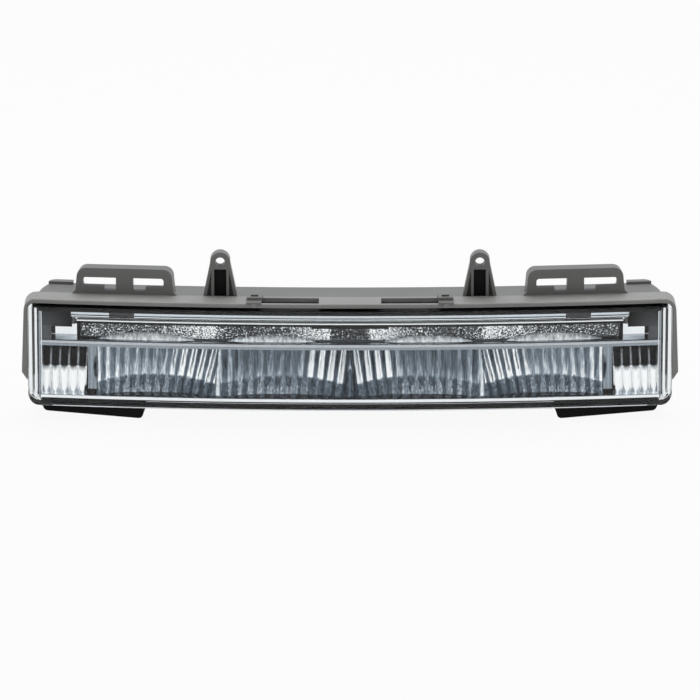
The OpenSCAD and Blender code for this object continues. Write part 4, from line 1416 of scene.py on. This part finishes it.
@dataclass
class LightBar:
    """The clear bar along the top, with a web behind it and a hook down at each end."""

    bench: Bench
    half: float = 122.5
    hook_w: float = 1.4
    hook_edge: float = 0.4
    bar: Section = Section(4.0, 10.7, 40.0, 43.5, 1.5)
    web: Section = Section(8.7, 10.7, 38.6, 39.95)
    hook: Section = Section(5.0, 6.6, 36.7, 39.95)

    def build(self) -> Piece:
        """Models the bar and lets it stand for its solid."""
        bow = self.bench.bow
        inner = self.half - self.hook_w
        parts = [bowed_bar(bow, -self.half, self.half, self.bar), bowed_bar(bow, -inner, inner, self.web)]
        for side in Side:
            near = bow.place(side.value * inner, self.hook.front, self.hook.low)
            far = bow.place(side.value * self.half, self.hook.back, self.hook.high)
            parts.append(edged_box(near, far, self.hook_edge))
        piece = self.bench.keep(fuse(parts), "light_bar_clear", GUIDE, "light_guide")
        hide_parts("light_bar")
        return piece


@dataclass
class EarPocketShadows:
    """Thin black sheets of painted shadow in the pockets between the ribs of the two ears."""

    bench: Bench
    pitch: float = 114.5
    foot_w: float = 14.8
    half: float = 2.6
    foot: float = 47.4
    head: float = 60.3
    flange_back: float = 14.2
    pocket: float = 4.4
    thick: float = 0.1
    edge: float = 0.03

    def build(self) -> None:
        """Models a black sheet of painted shadow in each ear's pocket."""
        bow = self.bench.bow
        for side in Side:
            middle = side.value * self.pitch / 2
            foot_end = middle + side.value * self.foot_w / 2
            back = bow.place(foot_end, self.flange_back + self.pocket, self.foot)
            low = Vector((bow.place(middle - self.half, 0, 0).x, back.y - self.thick * MM, back.z))
            top = bow.place(middle + self.half, 0, self.head)
            # Painted shadow: a thin black sheet at the back of the pocket.
            floor = edged_box(low, Vector((top.x, back.y, top.z)), self.edge)
            self.bench.keep(floor, f"ear_pocket_{side.word}", PAINTED_SHADOW, "housing")


@dataclass
class Carried:
    """The solids that stay as they are and only get their finishes."""

    bench: Bench

    def build(self) -> None:
        """Dresses each solid."""
        finishes = dict(NODE_FINISHES)
        for source, others in SAME_FINISH.items():
            for other in others:
                finishes[other] = finishes[source]
        for name, node in self.bench.nodes.items():
            if name in finishes:
                self.bench.dress(node, finishes[name])
                LOG.info("%s dressed", name)


@dataclass(frozen=True)
class Lamp:
    """A soft lamp that points at the object and that metal and gloss don't show."""

    name: str
    place: tuple[float, float, float]
    size: float
    power: float

    def build(self) -> None:
        """Hangs the lamp."""
        data = bpy.data.lights.new(self.name, "AREA")
        data.shape = "SQUARE"
        data.size = self.size
        data.energy = self.power
        lamp = bpy.data.objects.new(self.name, data)
        bpy.context.scene.collection.objects.link(lamp)
        lamp.location = self.place
        lamp.rotation_euler = (-Vector(self.place)).to_track_quat("-Z", "Y").to_euler()
        lamp.visible_glossy = False


@dataclass
class Studio:
    """A white table, a dim ceiling, soft lamps and the camera."""

    bench: Bench
    elevation: float = 15.0
    distance: float = 3000.0
    view_w: float = 309.9
    aim_depth: float = 20.0
    aim_height: float = 22.75
    floor_height: float = -7.0
    table_size: float = 8.0
    table_grey: float = 0.5
    table_seen: float = 0.93
    fill: float = 0.3
    ceiling: tuple[Stop, ...] = (
        (0.06, WHITE), (0.2, (0.62, 0.66, 0.7)), (0.42, (0.27, 0.31, 0.35)),
        (0.66, (0.1, 0.11, 0.13)), (0.85, (0.015, 0.015, 0.018)),
    )
    lamps: tuple[Lamp, ...] = (
        Lamp("top_lamp", (0.0, 0.4, 1.3), size=1.4, power=28.0),
        Lamp("front_lamp", (0.0, -1.4, 0.75), size=1.2, power=2.5),
    )

    def floor(self) -> None:
        """Lays the white table."""
        clear_selection()
        level = self.bench.bow.place(0, 0, self.floor_height).z
        bpy.ops.mesh.primitive_plane_add(size=self.table_size, location=(0, 0, level))
        plane = bpy.context.object
        plane.name = "table"
        sh = Shaders(bpy.data.materials.new("table_white"))
        matt = sh.add("BsdfDiffuse", Color=(self.table_grey, self.table_grey, self.table_grey, 1.0))
        glow = sh.add("Emission", Color=(*WHITE, 1.0), Strength=1.0)
        share = sh.calc("MULTIPLY", sh.seen(), self.table_seen)
        plane.data.materials.append(sh.surface(sh.mix(share, matt, glow)))

    def world(self) -> None:
        """Sets a white surround with a dim ceiling for what the chrome shows."""
        world = bpy.data.worlds.new("studio")
        bpy.context.scene.world = world
        sh = Shaders(world, "OutputWorld")
        way = sh.add("SeparateXYZ", Vector=sh.add("TexCoord").outputs["Generated"])
        white = sh.add("Mix", data_type="RGBA", Factor=sh.add("LightPath").outputs["Is Camera Ray"])
        sh.join(sh.stops(way.outputs["Z"], self.ceiling), white.inputs[6])
        white.inputs[7].default_value = (*WHITE, 1.0)
        shown = sh.add("Background", Color=white.outputs[2], Strength=1.0)
        light = sh.add("Background", Color=(*WHITE, 1.0), Strength=self.fill)
        sh.surface(sh.mix(sh.seen(), light, shown))

    def camera(self) -> None:
        """Sets up the camera at the photograph's angle."""
        data = bpy.data.cameras.new("camera")
        camera = bpy.data.objects.new("camera", data)
        bpy.context.scene.collection.objects.link(camera)
        tilt = math.radians(self.elevation)
        aim = self.bench.bow.place(0, self.aim_depth, self.aim_height)
        back = Vector((0.0, -math.cos(tilt), math.sin(tilt)))
        camera.location = aim + back * self.distance * MM
        camera.rotation_euler = (math.pi / 2 - tilt, 0.0, 0.0)
        data.lens = data.sensor_width * self.distance / self.view_w
        bpy.context.scene.camera = camera

    def build(self) -> None:
        """Sets the stage."""
        self.floor()
        self.world()
        for lamp in self.lamps:
            lamp.build()
        self.camera()
        bpy.context.scene.view_settings.view_transform = "Standard"


def main() -> None:
    """Builds the lamp's looks around its solids, and the studio around the lamp."""
    logging.basicConfig(level=logging.INFO, format="%(name)s: %(message)s")
    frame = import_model()
    bench = Bench(Bow.from_frame(), frame["nodes"])
    Carried(bench).build()
    EarPocketShadows(bench).build()
    ReflectorBank(bench).build()
    TrimBezel(bench).build()
    LightBar(bench).build()
    Studio(bench).build()
    LOG.info("%d new pieces", len(bench.pieces))


if __name__ == "__main__":
    main()
